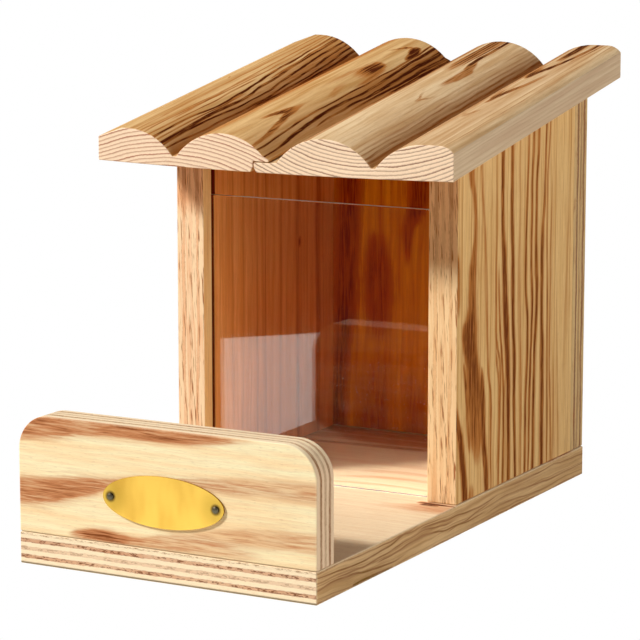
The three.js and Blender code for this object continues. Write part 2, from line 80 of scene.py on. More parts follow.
base_low, base_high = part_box("base_board")
wall_low, wall_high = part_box("right_wall")  # the left wall is its mirror image
back_low, back_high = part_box("back_panel")
roof_low, roof_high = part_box("right_roof_board")
pane_low, pane_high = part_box("window_pane")


# Node helpers

def colour(red, green, blue):
    """A colour as it is seen, 0 to 255, made linear for a shader."""
    def linear(value):
        share = value / 255
        return share / 12.92 if share <= 0.04045 else ((share + 0.055) / 1.055) ** 2.4
    return (linear(red), linear(green), linear(blue), 1.0)


class Wiring:
    """Adds nodes to one tree and links them. A plain value sets the input itself."""

    def __init__(self, tree):
        self.tree = tree

    def feed(self, socket, value):
        if isinstance(value, bpy.types.NodeSocket):
            self.tree.links.new(value, socket)
        elif value is not None:
            socket.default_value = value

    def add(self, kind, inputs, **settings):
        node = self.tree.nodes.new(kind)
        for name, value in settings.items():
            setattr(node, name, value)
        for socket, value in inputs.items():
            self.feed(node.inputs[socket], value)
        return node

    def place(self):
        """Where a point is on its piece, in metres."""
        return self.add("ShaderNodeTexCoord", {}).outputs["Object"]

    def math(self, operation, a, b=None, c=None):
        return self.add("ShaderNodeMath", {0: a, 1: b, 2: c}, operation=operation).outputs[0]

    def times(self, first, *others):
        for other in others:
            first = self.math("MULTIPLY", first, other)
        return first

    def vector(self, operation, a, b=None):
        return self.add("ShaderNodeVectorMath", {0: a, 1: b}, operation=operation).outputs[0]

    def stretch(self, vector, scale):
        return self.vector("MULTIPLY", vector, scale)

    def distance(self, a, b):
        return self.add("ShaderNodeVectorMath", {0: a, 1: b}, operation="DISTANCE").outputs["Value"]

    def split(self, vector):
        return self.add("ShaderNodeSeparateXYZ", {0: vector}).outputs

    def join(self, x, y, z):
        return self.add("ShaderNodeCombineXYZ", {0: x, 1: y, 2: z}).outputs[0]

    def noise(self, vector, grain, detail, rough):
        """A noise from 0 to 1. Its grain is how often it changes in a millimetre, in X, Y and Z."""
        inputs = {"Vector": self.stretch(vector, grain), "Scale": 1.0, "Detail": detail, "Roughness": rough}
        return self.add("ShaderNodeTexNoise", inputs).outputs[0]

    def random(self, value):
        return self.add("ShaderNodeTexWhiteNoise", {"W": value}, noise_dimensions="1D").outputs[0]

    def fade(self, value, start, end, low=0.0, high=1.0):
        """A smooth change from low to high as the value goes from start to end."""
        inputs = {0: value, 1: start, 2: end, 3: low, 4: high}
        return self.add("ShaderNodeMapRange", inputs, interpolation_type="SMOOTHSTEP").outputs[0]

    def share(self, value, start, end):
        """How far a value has gone from start to end, 0 to 1."""
        return self.add("ShaderNodeMapRange", {0: value, 1: start, 2: end}).outputs[0]

    def tint(self, share, a, b, mode="MIX"):
        inputs = {0: share, 6: a, 7: b}
        return self.add("ShaderNodeMix", inputs, data_type="RGBA", blend_type=mode).outputs[2]

    def mix(self, share, a, b):
        return self.add("ShaderNodeMixShader", {0: share, 1: a, 2: b}).outputs[0]

    def bump(self, height, strength, distance):
        """A normal from a relief. The distance is in millimetres."""
        inputs = {"Strength": strength, "Distance": distance * MM, "Height": height}
        return self.add("ShaderNodeBump", inputs).outputs[0]

    def curves(self, value, columns):
        """Three smooth curves over 0 to 1, each given by its height at the same places."""
        node = self.add("ShaderNodeRGBCurve", {1: value})
        node.mapping.extend = "HORIZONTAL"
        for curve, points in zip(node.mapping.curves, columns):
            for place, height in points[1:-1]:
                curve.points.new(place, height)
            curve.points[0].location = points[0]
            curve.points[len(points) - 1].location = points[-1]
            for point in curve.points:
                point.handle_type = "AUTO_CLAMPED"
        node.mapping.update()
        return node.outputs[0]

    def group(self, tree, **inputs):
        node = self.tree.nodes.new("ShaderNodeGroup")
        node.node_tree = tree
        for name, value in inputs.items():
            self.feed(node.inputs[name.replace("_", " ")], value)
        return node.outputs


VECTOR, NUMBER = "NodeSocketVector", "NodeSocketFloat"


def effect(name, inputs, outputs):
    """An empty shader node group: its wiring, its input sockets and its output sockets."""
    tree = bpy.data.node_groups.new(name, "ShaderNodeTree")
    for title, kind in inputs.items():
        tree.interface.new_socket(title, in_out="INPUT", socket_type=kind)
    for title in outputs:
        kind = VECTOR if title == "Vector" else NUMBER
        tree.interface.new_socket(title, in_out="OUTPUT", socket_type=kind)
    given, out = tree.nodes.new("NodeGroupInput"), tree.nodes.new("NodeGroupOutput")
    return Wiring(tree), given.outputs, out.inputs


# Shared effects

# In every effect X runs across the grain, Y along it and Z through the board, in millimetres.

# The grain of each noise
FINE_GRAIN = (2.4, 0.09, 2.4)
STREAK_GRAIN = (0.95, 0.045, 0.95)
BROAD_GRAIN = (0.32, 0.014, 0.32)
DASH_GRAIN = (2.9, 0.3, 2.9)
SWAY_GRAIN = (0.035, 1, 0.035)  # Y is already a share of the sway's length
KINK_GRAIN = (0.16, 0.04, 0.16)
YEAR_GRAIN = (0.11, 0.004, 1)
YEAR_SLICE = 3.7  # one Z for a whole face, so that its lines run straight through an arris
FLAT = (1, 0, 1)
RING_SWAY_GRAIN = (0.03, 1, 0.07)
RING_RIPPLE_GRAIN = (0.7, 1, 0.7)
RAY_GRAIN = (3.4, 1, 1.6)
PLY_SWAY_GRAIN = (0.03, 0.03, 0.2)
PLY_GRAIN = (0.5, 0.5, 2.6)
PIT_GRAIN = (0.4, 0.4, 1.3)
FRAY_GRAIN = (0.5, 0.5, 0.5)
# How far the noises push lines, in millimetres
KINK_REACH = 1.4
YEAR_REACH = 9.0
RING_SWAY_REACH = 3.0
RING_RIPPLE_REACH = 0.5
WIDEST_FLAME = 10.0  # half its width, in millimetres
LEVELS = 4.0  # of long plies through a board, with a cross ply between each two
PLY_REACH_SHARE = 0.38  # of the thickness on each side of the middle, past which no cross ply lies


def make_fibre():
    """Fine fibres, streaks, broad soft tones, and the short dark dashes of resin canals."""
    w, given, out = effect("Wood fibre", {"Vector": VECTOR}, ["Fine", "Streaks", "Broad", "Dashes"])
    vector = given["Vector"]
    w.feed(out["Fine"], w.noise(vector, FINE_GRAIN, 3, 0.6))
    w.feed(out["Streaks"], w.noise(vector, STREAK_GRAIN, 3, 0.6))
    w.feed(out["Broad"], w.noise(vector, BROAD_GRAIN, 2, 0.5))
    dashes = w.noise(vector, DASH_GRAIN, 1, 0.4)
    w.feed(out["Dashes"], w.fade(dashes, 0.63, 0.74))
    return w.tree


def make_wander():
    """Pushes lines that run along the grain sideways: a slow sway over a length, and kinks."""
    inputs = {"Vector": VECTOR, "Amount": NUMBER, "Length": NUMBER}
    w, given, out = effect("Wandering grain", inputs, ["Vector"])
    x, y, z = w.split(given["Vector"])
    slow = w.join(x, w.math("DIVIDE", y, given["Length"]), z)
    sway = w.math("SUBTRACT", w.noise(slow, SWAY_GRAIN, 2, 0.45), 0.5)
    kink = w.math("SUBTRACT", w.noise(given["Vector"], KINK_GRAIN, 1, 0.4), 0.5)
    shift = w.math("MULTIPLY_ADD", kink, KINK_REACH, w.times(sway, given["Amount"], 2.0))
    w.feed(out["Vector"], w.join(w.math("ADD", x, shift), y, z))
    return w.tree


def grow(w, distance, spacing, pale_share):
    """Growth lines over a distance: pale wood, then late wood that darkens and ends sharply."""
    years = w.math("DIVIDE", distance, spacing)
    part = w.math("FRACT", years)
    strength = w.random(w.math("FLOOR", years))
    slow = w.fade(part, pale_share, 0.9)
    sharp = w.fade(part, 0.93, 1.0, 1.0, 0.0)
    return w.times(slow, sharp), strength


def make_growth_lines():
    """Growth lines on a face: how dark the late wood is, and each line's own strength."""
    w, given, out = effect("Growth lines", {"Vector": VECTOR, "Spacing": NUMBER}, ["Late", "Strength"])
    x, y, _ = w.split(given["Vector"])
    uneven = w.noise(w.join(x, y, YEAR_SLICE), YEAR_GRAIN, 2, 0.5)
    distance = w.math("ADD", x, w.times(uneven, YEAR_REACH))
    late, strength = grow(w, distance, given["Spacing"], 0.25)
    w.feed(out["Late"], late)
    w.feed(out["Strength"], strength)
    return w.tree


def make_rings():
    """Growth rings on end grain, round a centre in the board's X and Z."""
    inputs = {"Vector": VECTOR, "Centre": VECTOR, "Spacing": NUMBER}
    w, given, out = effect("End grain rings", inputs, ["Late", "Strength", "Rays"])
    flat = w.stretch(given["Vector"], FLAT)
    sway = w.noise(flat, RING_SWAY_GRAIN, 2, 0.5)
    ripple = w.noise(flat, RING_RIPPLE_GRAIN, 2, 0.5)
    away = w.math("MULTIPLY_ADD", sway, RING_SWAY_REACH, w.distance(flat, given["Centre"]))
    away = w.math("MULTIPLY_ADD", ripple, RING_RIPPLE_REACH, away)
    late, strength = grow(w, away, given["Spacing"], 0.42)
    w.feed(out["Late"], late)
    w.feed(out["Strength"], strength)
    w.feed(out["Rays"], w.noise(flat, RAY_GRAIN, 2, 0.6))
    return w.tree


def make_flame():
    """One flame along the grain, a dark core in a soft halo. Its course holds its place, half width
    and strength as shares. Ragged is a noise from 0 to 1 that frays its edges."""
    inputs = {
        "Vector": VECTOR, "Course": VECTOR, "Ragged": NUMBER, "Low": NUMBER, "Spread": NUMBER, "Halo": NUMBER}
    w, given, out = effect("Flame", inputs, ["Mask"])
    x, _, _ = w.split(given["Vector"])
    place, half, strength = w.split(given["Course"])
    place = w.math("MULTIPLY_ADD", place, given["Spread"], given["Low"])
    off = w.math("ABSOLUTE", w.math("SUBTRACT", x, place))
    fray = w.fade(given["Ragged"], 0.3, 0.7, 0.68, 1.3)
    half = w.times(half, WIDEST_FLAME, fray)
    core = w.fade(off, w.math("MULTIPLY_ADD", half, 1.25, 0.15), w.times(half, 0.5))
    halo = w.fade(off, w.math("MULTIPLY_ADD", half, 1.3, 1.4), w.times(half, 0.9))
    mask = w.math("MAXIMUM", core, w.times(halo, given["Halo"]))
    w.feed(out["Mask"], w.times(mask, strength))
    return w.tree


def make_plies():
    """A plywood edge of four long plies and three thinner cross plies, the middle one the faintest,
    with glue lines and pits."""
    inputs = {"Vector": VECTOR, "Thickness": NUMBER, "Sway": NUMBER}
    w, given, out = effect("Plywood edge", inputs, ["Cross", "Glue", "Rough", "Pits"])
    vector = given["Vector"]
    sway = w.math("SUBTRACT", w.noise(vector, PLY_SWAY_GRAIN, 2, 0.5), 0.5)
    depth = w.math("ADD", w.math("DIVIDE", w.split(vector)[2], given["Thickness"]), 0.5)
    level = w.math("ADD", w.times(depth, LEVELS), w.times(sway, given["Sway"]))
    whole = w.math("FLOOR", w.math("ADD", level, 0.5))
    off = w.math("ABSOLUTE", w.math("SUBTRACT", level, whole))
    inside = w.math("COMPARE", depth, 0.5, PLY_REACH_SHARE)
    middle = w.math("COMPARE", whole, LEVELS / 2, 0.5)
    there = w.times(inside, w.math("SUBTRACT", 1.0, w.times(middle, 0.5)))
    rough = w.noise(vector, PLY_GRAIN, 3, 0.7)
    past = w.math("SUBTRACT", off, w.fade(rough, 0.3, 0.7, 0.17, 0.26))
    pits = w.fade(w.noise(vector, PIT_GRAIN, 3, 0.7), 0.5, 0.6)
    w.feed(out["Cross"], w.times(w.fade(past, 0.05, -0.03), there))
    w.feed(out["Glue"], w.times(w.fade(w.math("ABSOLUTE", past), 0.06, 0.01), there))
    w.feed(out["Rough"], rough)
    w.feed(out["Pits"], w.times(pits, w.fade(off, 0.3, 0.1), there))
    return w.tree


def make_arris():
    """How near a point is to the arris of a box-shaped board, frayed by a noise."""
    inputs = {"Vector": VECTOR, "Half size": VECTOR, "Width": NUMBER}
    w, given, out = effect("Worn arris", inputs, ["Edge"])
    inset = w.vector("SUBTRACT", given["Half size"], w.vector("ABSOLUTE", given["Vector"]))
    a, b, c = w.split(inset)
    middle = w.math("MINIMUM", w.math("MAXIMUM", a, b), c)
    second = w.math("MAXIMUM", w.math("MINIMUM", a, b), middle)
    fray = w.noise(given["Vector"], FRAY_GRAIN, 3, 0.6)
    width = w.times(given["Width"], fray, 2.0)
    w.feed(out["Edge"], w.fade(w.math("DIVIDE", second, width), 1.0, 0.0))
    return w.tree


FIBRE = make_fibre()
WANDER = make_wander()
GROWTH_LINES = make_growth_lines()
RINGS = make_rings()
FLAME = make_flame()
PLIES = make_plies()
ARRIS = make_arris()


# Wood finishes

PALE_PLY = colour(255, 244, 200)
WARM_PLY = colour(255, 227, 176)
TAN_PLY = colour(222, 182, 112)
SCORCH = colour(200, 134, 88)
DEEP_SCORCH = colour(126, 66, 30)
GLUE_BROWN = colour(160, 108, 66)
PIT_BROWN = colour(112, 62, 26)
VESSEL_BROWN = colour(158, 90, 38)
# Painted contact shadow along the base's lowest arris
CONTACT_SHADE = colour(104, 88, 58)
# Painted shade of the joint under the base's top arris, in dark pits
JOINT_SHADE_BROWN = colour(150, 104, 60)
SANDED = colour(255, 236, 200)
PINE_PALE = colour(240, 212, 168)
PINE_TAN = colour(214, 174, 124)
PINE_END = colour(250, 226, 195)
PINE_RAYS = colour(240, 206, 172)

# A board's directions across its grain, along it and through the board
ALONG_X = ((0, 0, 1), (1, 0, 0), (0, 1, 0))
ALONG_Y = ((1, 0, 0), (0, 1, 0), (0, 0, 1))
ALONG_Z_FACING_X = ((0, 1, 0), (0, 0, 1), (1, 0, 0))
ALONG_Z_FACING_Y = ((1, 0, 0), (0, 0, 1), (0, -1, 0))
ALONG_X_FLAT = ((0, 1, 0), (1, 0, 0), (0, 0, -1))
ALONG_Y_FACING_X = ((0, 0, 1), (0, 1, 0), (-1, 0, 0))

WANDER_LENGTH = 46.0  # millimetres along the grain
EDGE_WIDTH = 1.1  # of the sanded wood beside an arris
WOOD_RELIEF = 0.12  # in millimetres
WOOD_GLOSS = 0.06
PATCH_GRAIN = (0.03, 0.03, 0.25)
VESSEL_GRAIN = (0.075, 0.075, 1.5)
VEIN_GRAIN = (0.02, 0.02, 0.55)
VESSEL_SLANT = (0.04, 0.04, 0)  # how the vessels lean in the edge, in radians
CONTACT_SHADE_TOP, CONTACT_SHADE_FULL = 0.0014, 0.0006  # heights of the painted contact shadow on the base's front edge
# Heights of the painted joint shade under the base's top arris
JOINT_SHADE_START, JOINT_SHADE_FULL = 0.0128, 0.0138


def new_material(name):
    material = bpy.data.materials.new(name)
    material.use_nodes = True
    material.node_tree.nodes.clear()
    return material, Wiring(material.node_tree)


def board_vector(w, origin, directions, pitch=0.0):
    """The board's own millimetres from an origin in metres: X across, Y along, Z through."""
    turn = Matrix.Rotation(pitch, 3, "X") @ Matrix(directions).transposed()
    place = w.add("ShaderNodeMapping", {"Vector": w.place()}, vector_type="TEXTURE")
    place.inputs["Location"].default_value = origin
    place.inputs["Rotation"].default_value = turn.to_euler()
    place.inputs["Scale"].default_value = (MM, MM, MM)
    return place.outputs[0]


def worn_edge(w, board):
    """A mask along the outer arrises of an upright, box-shaped board."""
    low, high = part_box(board)
    vector = board_vector(w, (low + high) / 2, ALONG_Y)
    half_size = tuple((high - low) / 2 / MM)
    return w.group(ARRIS, Vector=vector, Half_size=half_size, Width=EDGE_WIDTH)["Edge"]


def finish_wood(w, base, relief, rough):
    """A wood surface from its colour, its relief and its roughness."""
    inputs = {"Base Color": base, "Roughness": rough, "Normal": w.bump(relief, 0.6, WOOD_RELIEF)}
    shader = w.add("ShaderNodeBsdfPrincipled", inputs)
    shader.inputs["Specular IOR Level"].default_value = WOOD_GLOSS
    w.add("ShaderNodeOutputMaterial", {0: shader.outputs[0]})


def scorched(w, vector, ragged, flames, halo):
    """The darkest of a list of flames at each point."""
    along = w.split(vector)[1]
    total = None
    for flame in flames:
        start, end = flame[0][0], flame[-1][0]
        low = min(point[1] for point in flame)
        spread = max(max(point[1] for point in flame) - low, 1.0)
        shares = [(point[0] - start) / (end - start) for point in flame]
        course = w.curves(w.share(along, start, end), [
            [(share, (point[1] - low) / spread) for share, point in zip(shares, flame)],
            [(share, point[2] / WIDEST_FLAME) for share, point in zip(shares, flame)],
            [(share, point[3]) for share, point in zip(shares, flame)],
        ])
        mask = w.group(
            FLAME, Vector=vector, Course=course, Ragged=ragged, Low=low, Spread=spread, Halo=halo)["Mask"]
        total = mask if total is None else w.math("MAXIMUM", total, mask)
    return total


def face_grain(name, origin, directions, tones, flames=(), lines=0.35, spacing=3.2, wander=0.5, pitch=0.0,
               scorch=(SCORCH, DEEP_SCORCH), line_tone=None, board=None, rough=0.62, halo=0.4, streak=0.16):
    """A flamed board's face: tones, growth lines, scorched flames, fibres and sanded arrises. Lines is
    how dark the growth lines are and spacing how many millimetres apart, wander how far the grain sways,
    halo how strong a flame's soft edge is, and streak how strong the brown between the flames."""
    material, w = new_material(name)
    vector = board_vector(w, origin, directions, pitch)
    swayed = w.group(WANDER, Vector=vector, Amount=wander, Length=WANDER_LENGTH)["Vector"]
    fibre = w.group(FIBRE, Vector=swayed)
    growth = w.group(GROWTH_LINES, Vector=swayed, Spacing=spacing)
    late = w.times(
        growth["Late"], w.fade(growth["Strength"], 0.1, 1.0, 0.08, 1.0),
        w.fade(fibre["Broad"], 0.35, 0.65, 0.45, 1.1))
    wood = w.tint(w.fade(fibre["Broad"], 0.3, 0.72), tones[0], tones[1])
    wood = w.tint(w.times(late, lines), wood, line_tone or scorch[0])
    wood = w.tint(w.fade(fibre["Fine"], 0.35, 0.8, 0.0, 0.22), wood, scorch[0], "MULTIPLY")
    wood = w.tint(w.fade(fibre["Streaks"], 0.42, 0.7, 0.0, streak), wood, scorch[0])
    shine = rough
    if flames:
        burnt = w.times(
            scorched(w, swayed, fibre["Streaks"], flames, halo),
            w.fade(fibre["Streaks"], 0.32, 0.66, 1.3, 0.66), w.fade(fibre["Fine"], 0.34, 0.66, 1.15, 0.85))
        wood = w.tint(w.fade(burnt, 0.0, 0.6), wood, scorch[0])
        wood = w.tint(w.fade(burnt, 0.5, 1.0), wood, scorch[1])
        shine = w.fade(burnt, 0.0, 1.0, rough, rough + 0.14)
    wood = w.tint(w.times(fibre["Dashes"], 0.16), wood, scorch[1])
    if board:
        edge = worn_edge(w, board)
        wood = w.tint(w.times(edge, 0.3), wood, SANDED)
        shine = w.math("SUBTRACT", shine, w.times(edge, 0.12))
    finish_wood(w, wood, w.math("ADD", fibre["Fine"], w.times(late, 0.8)), shine)
    return material


def ply_edge(name, board, directions, tones, strength=1.0, sway=0.3, pits=0.8, dashes=0.0, upper=None,
             foot=False):
    """A sanded plywood edge, its plies spread through the board's thickness. Tones are the long plies'
    and the cross plies'. Upper has the heights where the edge's top, which runs along the face's grain,
    begins and is whole, and then its tones: painted light, a highlight where the top is lit or painted
    shade where a shadow falls over it. Dashes are open vessels, and a foot has painted contact shadow
    along its lowest arris, with painted shade of the joint, in dark pits, under its highest."""
    material, w = new_material(name)
    low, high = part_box(board)
    through = [abs(part) for part in directions[2]]
    origin = [(low[i] + high[i]) / 2 * through[i] for i in range(3)]
    thickness = sum((high[i] - low[i]) * through[i] for i in range(3)) / MM
    vector = board_vector(w, origin, directions)
    plies = w.group(PLIES, Vector=vector, Thickness=thickness, Sway=sway)
    patches = w.noise(vector, PATCH_GRAIN, 2, 0.5)
    height = w.split(w.place())[2] if upper or foot else None
    long_ply, cross_ply = tones
    # The top's band is painted light: a highlight on the plate's top edge, the roof's shadow on the walls'
    # front edges.
    if upper:
        start, end, (painted_light_long, painted_light_cross) = upper
        top = w.fade(height, start, end)
        long_ply, cross_ply = w.tint(top, long_ply, painted_light_long), w.tint(top, cross_ply, painted_light_cross)
    cross = w.times(plies["Cross"], w.fade(patches, 0.25, 0.75, strength * 0.65, strength))
    wood = w.tint(cross, long_ply, cross_ply)
    wood = w.tint(w.fade(plies["Rough"], 0.5, 0.8, 0.0, 0.35), wood, cross_ply)
    glue = w.times(plies["Glue"], w.fade(patches, 0.3, 0.7, 0.1, 0.45 * strength))
    wood = w.tint(glue, wood, GLUE_BROWN)
    wood = w.tint(w.times(plies["Pits"], pits), wood, PIT_BROWN)
    if dashes:
        slanted = w.add("ShaderNodeMapping", {"Vector": vector, "Rotation": VESSEL_SLANT}).outputs[0]
        vessels = w.noise(slanted, VESSEL_GRAIN, 2, 0.6)
        wood = w.tint(w.fade(vessels, 0.56, 0.66, 0.0, dashes), wood, VESSEL_BROWN)
        veins = w.noise(slanted, VEIN_GRAIN, 2, 0.6)
        wood = w.tint(w.fade(veins, 0.5, 0.66, 0.0, 0.5), wood, cross_ply)
    # Painted contact shadow along the lowest arris, and painted shade of the joint, in dark pits, under the
    # highest.
    if foot:
        wood = w.tint(w.fade(height, CONTACT_SHADE_TOP, CONTACT_SHADE_FULL, 0.0, 0.85), wood, CONTACT_SHADE)
        rough_wood = w.fade(plies["Rough"], 0.46, 0.62, 0.12, 0.8)
        wood = w.tint(w.times(w.fade(height, JOINT_SHADE_START, JOINT_SHADE_FULL), rough_wood), wood, JOINT_SHADE_BROWN)
    hollow = w.math("MULTIPLY_ADD", plies["Pits"], pits, w.times(plies["Glue"], 0.6))
    relief = w.math("SUBTRACT", plies["Rough"], hollow)
    finish_wood(w, wood, relief, w.fade(plies["Rough"], 0.2, 0.8, 0.66, 0.8))
    return material


def band(start, end, place_a, place_b, half_a, half_b, fade_a, fade_b, strength):
    """A flame that runs straight from one place to another and fades at its ends."""
    def at(along, shade):
        share = (along - start) / (end - start)
        return (along, place_a + (place_b - place_a) * share, half_a + (half_b - half_a) * share, shade)
    return [at(start, 0), at(start + fade_a, strength), at(end - fade_b, strength), at(end, 0)]


# Flames. Each point is a place along the grain, one across it, half the width and the strength.
PLATE_FLAMES = [
    [(-8, 62, 6, 0.56), (20, 66, 6.5, 0.62), (45, 68, 5, 0.58), (65, 67.5, 4, 0.66), (80, 67.5, 3.6, 0.66),
     (100, 68, 3, 0.56), (114, 68.6, 1.6, 0.3), (126, 69, 1, 0)],
    [(-8, 34.5, 7, 0.56), (12, 36, 7, 0.62), (25, 38, 6, 0.66), (38, 40.5, 4.8, 0.6), (50, 43, 3, 0.5),
     (60, 45, 2.4, 0.35), (75, 47, 2, 0.25), (90, 48, 3, 0.36), (110, 48.5, 4.2, 0.38),
     (130, 49.5, 5.4, 0.33), (162, 50, 6, 0.35)],
    [(26, 18, 1, 0), (34, 19, 2.6, 0.55), (45, 19.5, 3, 0.85), (55, 19, 2.8, 0.75), (62, 19, 2.4, 0.5),
     (75, 20, 4.2, 0.4), (90, 21, 5.4, 0.38), (105, 21.5, 5.4, 0.34), (118, 20, 3.6, 0.24), (130, 20, 2, 0)],
    [(80, 23, 2, 0), (96, 25, 3.8, 0.26), (115, 26.5, 5.2, 0.34), (130, 28, 5.6, 0.33),
     (162, 28.5, 5.8, 0.35)],
]
RIGHT_WALL_FLAMES = [
    [(-4, 13, 3, 0.9), (10, 11.4, 3, 1), (20, 9.4, 3, 1), (32, 6.8, 3, 0.95), (42, 3, 2.6, 0.85),
     (50, 0.2, 2.2, 0.6), (58, -2, 1.6, 0)],
    [(22, 29.4, 2, 0), (34, 28.8, 3.8, 0.6), (46, 28, 4.4, 0.66), (56, 27.4, 3.4, 0.5), (64, 27, 2, 0)],
    [(88, 3, 2, 0), (95, 2.5, 2.8, 0.6), (108, 2.5, 3, 0.75), (120, 1.5, 2.4, 0.45), (128, 1, 2, 0)],
    [(62, 14, 3, 0), (70, 14, 4.2, 0.7), (76, 13.5, 5, 1), (82, 12.5, 4.6, 0.95), (88, 14, 3.6, 0.6),
     (98, 15, 2.5, 0)],
    [(14, 26, 3, 0), (22, 25, 5.4, 0.46), (30, 23.6, 7.6, 0.66), (40, 22.4, 8.6, 0.74), (50, 21.4, 9, 0.8),
     (60, 20, 8.2, 0.88), (70, 18, 7.2, 0.93), (80, 17.5, 6.6, 0.93), (90, 18, 5.6, 0.84),
     (100, 18.5, 5, 0.8), (110, 19, 4.6, 0.72), (118, 20.3, 3.2, 0.6), (128, 21.3, 2.2, 0.6),
     (140, 20.6, 2.2, 0.58), (150, 17.5, 3.4, 0.6), (166, 15, 4, 0.6)],
    [(-4, 36.3, 2.3, 0.85), (10, 35.1, 2.5, 0.9), (20, 33.3, 2.6, 0.95), (30, 31.8, 2.7, 1),
     (45, 30.8, 2.7, 1), (54, 29.8, 2.3, 0.95), (60, 29.5, 1.4, 0.6), (64, 29, 1, 0)],
    [(22, 17, 1.2, 0), (30, 16, 1.4, 0.6), (48, 13.5, 1.5, 0.7), (60, 11.5, 1.6, 0.7), (70, 9.6, 1.5, 0)],
    [(-2, 18, 3, 0.6), (4, 18.5, 3.4, 0.55), (11, 19, 2, 0)],
    [(-4, 40.8, 0.8, 0.4), (20, 40, 1.1, 0.6), (45, 39.5, 1.1, 0.66), (60, 36.3, 1.1, 0.6),
     (90, 34, 1.7, 0.45), (110, 33, 1.7, 0.42), (150, 28, 1.5, 0.4), (170, 25.5, 1.5, 0.3)],
    [(-4, 48.5, 1.2, 0.45), (20, 49, 1.3, 0.6), (50, 50, 1.2, 0.6), (70, 46, 1.2, 0.62), (80, 44.5, 1.2, 0.6),
     (110, 44.2, 1.1, 0.5), (130, 44, 0.9, 0.35), (165, 43, 0.8, 0.25)],
    [(-4, 54.2, 1.2, 0.65), (10, 54, 1.2, 0.7), (40, 54, 1.2, 0.72), (60, 52, 1.2, 0.76), (90, 48, 1.2, 0.6),
     (114, 47, 1, 0)],
    [(-4, 60.3, 1.6, 0.95), (10, 60, 1.7, 1), (40, 59.5, 2, 1), (60, 58, 2.5, 1), (75, 56.5, 2.9, 1),
     (90, 55, 2.9, 1), (110, 53, 2.4, 1), (130, 51, 1.8, 0.9), (160, 50.5, 1.6, 0.8), (172, 50.5, 1.3, 0.7)],
    [(-4, 68, 1.3, 0.95), (10, 67.5, 1.3, 0.95), (40, 66, 1.4, 1), (60, 65.5, 1.8, 1), (80, 64, 1.8, 1),
     (110, 62.5, 1.6, 0.95), (130, 61.5, 1.7, 0.85), (160, 61, 1.9, 0.75), (172, 61, 1.9, 0.7)],
    [(20, 75, 0.8, 0), (40, 74, 0.9, 0.45), (100, 71, 0.9, 0.42), (140, 70, 0.8, 0.35),
     (172, 69.5, 0.8, 0.25)],
    [(-4, 79, 1.2, 0.7), (40, 79.5, 1.3, 0.78), (70, 80.5, 1.4, 0.85), (100, 77.5, 1.3, 0.8),
     (130, 78, 1.3, 0.72), (160, 79.5, 1.3, 0.6), (174, 80, 1.3, 0.6)],
    [(-4, 83, 1, 0.6), (30, 83.5, 1.2, 0.8), (60, 84.5, 1.3, 0.85), (80, 85.5, 1.3, 0.85),
     (110, 84, 1.3, 0.8), (130, 84, 1.2, 0.75), (160, 85, 1.4, 0.65), (174, 85.5, 1.4, 0.65)],
    [(-4, 88, 1.5, 0.85), (30, 88.5, 1.6, 0.86), (60, 89, 1.6, 0.88), (90, 91, 1.7, 0.92),
     (100, 90, 1.7, 0.9), (130, 89.5, 1.5, 0.75), (160, 91, 1.5, 0.7), (174, 91.5, 1.5, 0.7)],
    [(-4, 99, 2.2, 0.95), (30, 98.5, 2.2, 0.95), (60, 98, 2.1, 0.95), (80, 97, 1.8, 0.9), (110, 97, 1.8, 0.9),
     (130, 98.5, 1.4, 0.76), (160, 100, 1.3, 0.65), (176, 100.5, 1.3, 0.6)],
    [(-4, 105.5, 1, 0.55), (30, 105, 1, 0.62), (60, 104, 1, 0.62), (100, 103, 1, 0.6), (130, 102, 0.9, 0.5),
     (160, 104.5, 0.9, 0.45), (176, 105, 0.9, 0.4)],
    [(-4, 111, 1.1, 0.5), (10, 110, 1.1, 0.55), (40, 108, 1, 0.55), (60, 107, 1, 0.5), (110, 107, 0.9, 0.5),
     (156, 108, 0.8, 0)],
    [(-4, 119.5, 1, 0.3), (10, 119, 1, 0.32), (60, 116, 1, 0.3), (110, 114, 1, 0)],
    [(30, 124, 1.5, 0), (60, 125, 1.6, 0.26), (110, 127.5, 1.6, 0.26), (160, 130, 1.4, 0)],
    [(-4, 73.5, 1.4, 0.36), (30, 73, 1.5, 0.4), (60, 71.5, 1.2, 0.36), (100, 69, 1, 0.34), (130, 68, 0.9, 0)],
    [(6, 47.4, 0.9, 0), (20, 47.8, 1.1, 0.5), (45, 48.4, 1.1, 0.55), (62, 46, 1, 0.5), (76, 43.6, 0.9, 0)],
    [(-4, 115, 1.2, 0.26), (40, 112, 1.2, 0.28), (70, 110, 1, 0)],
]
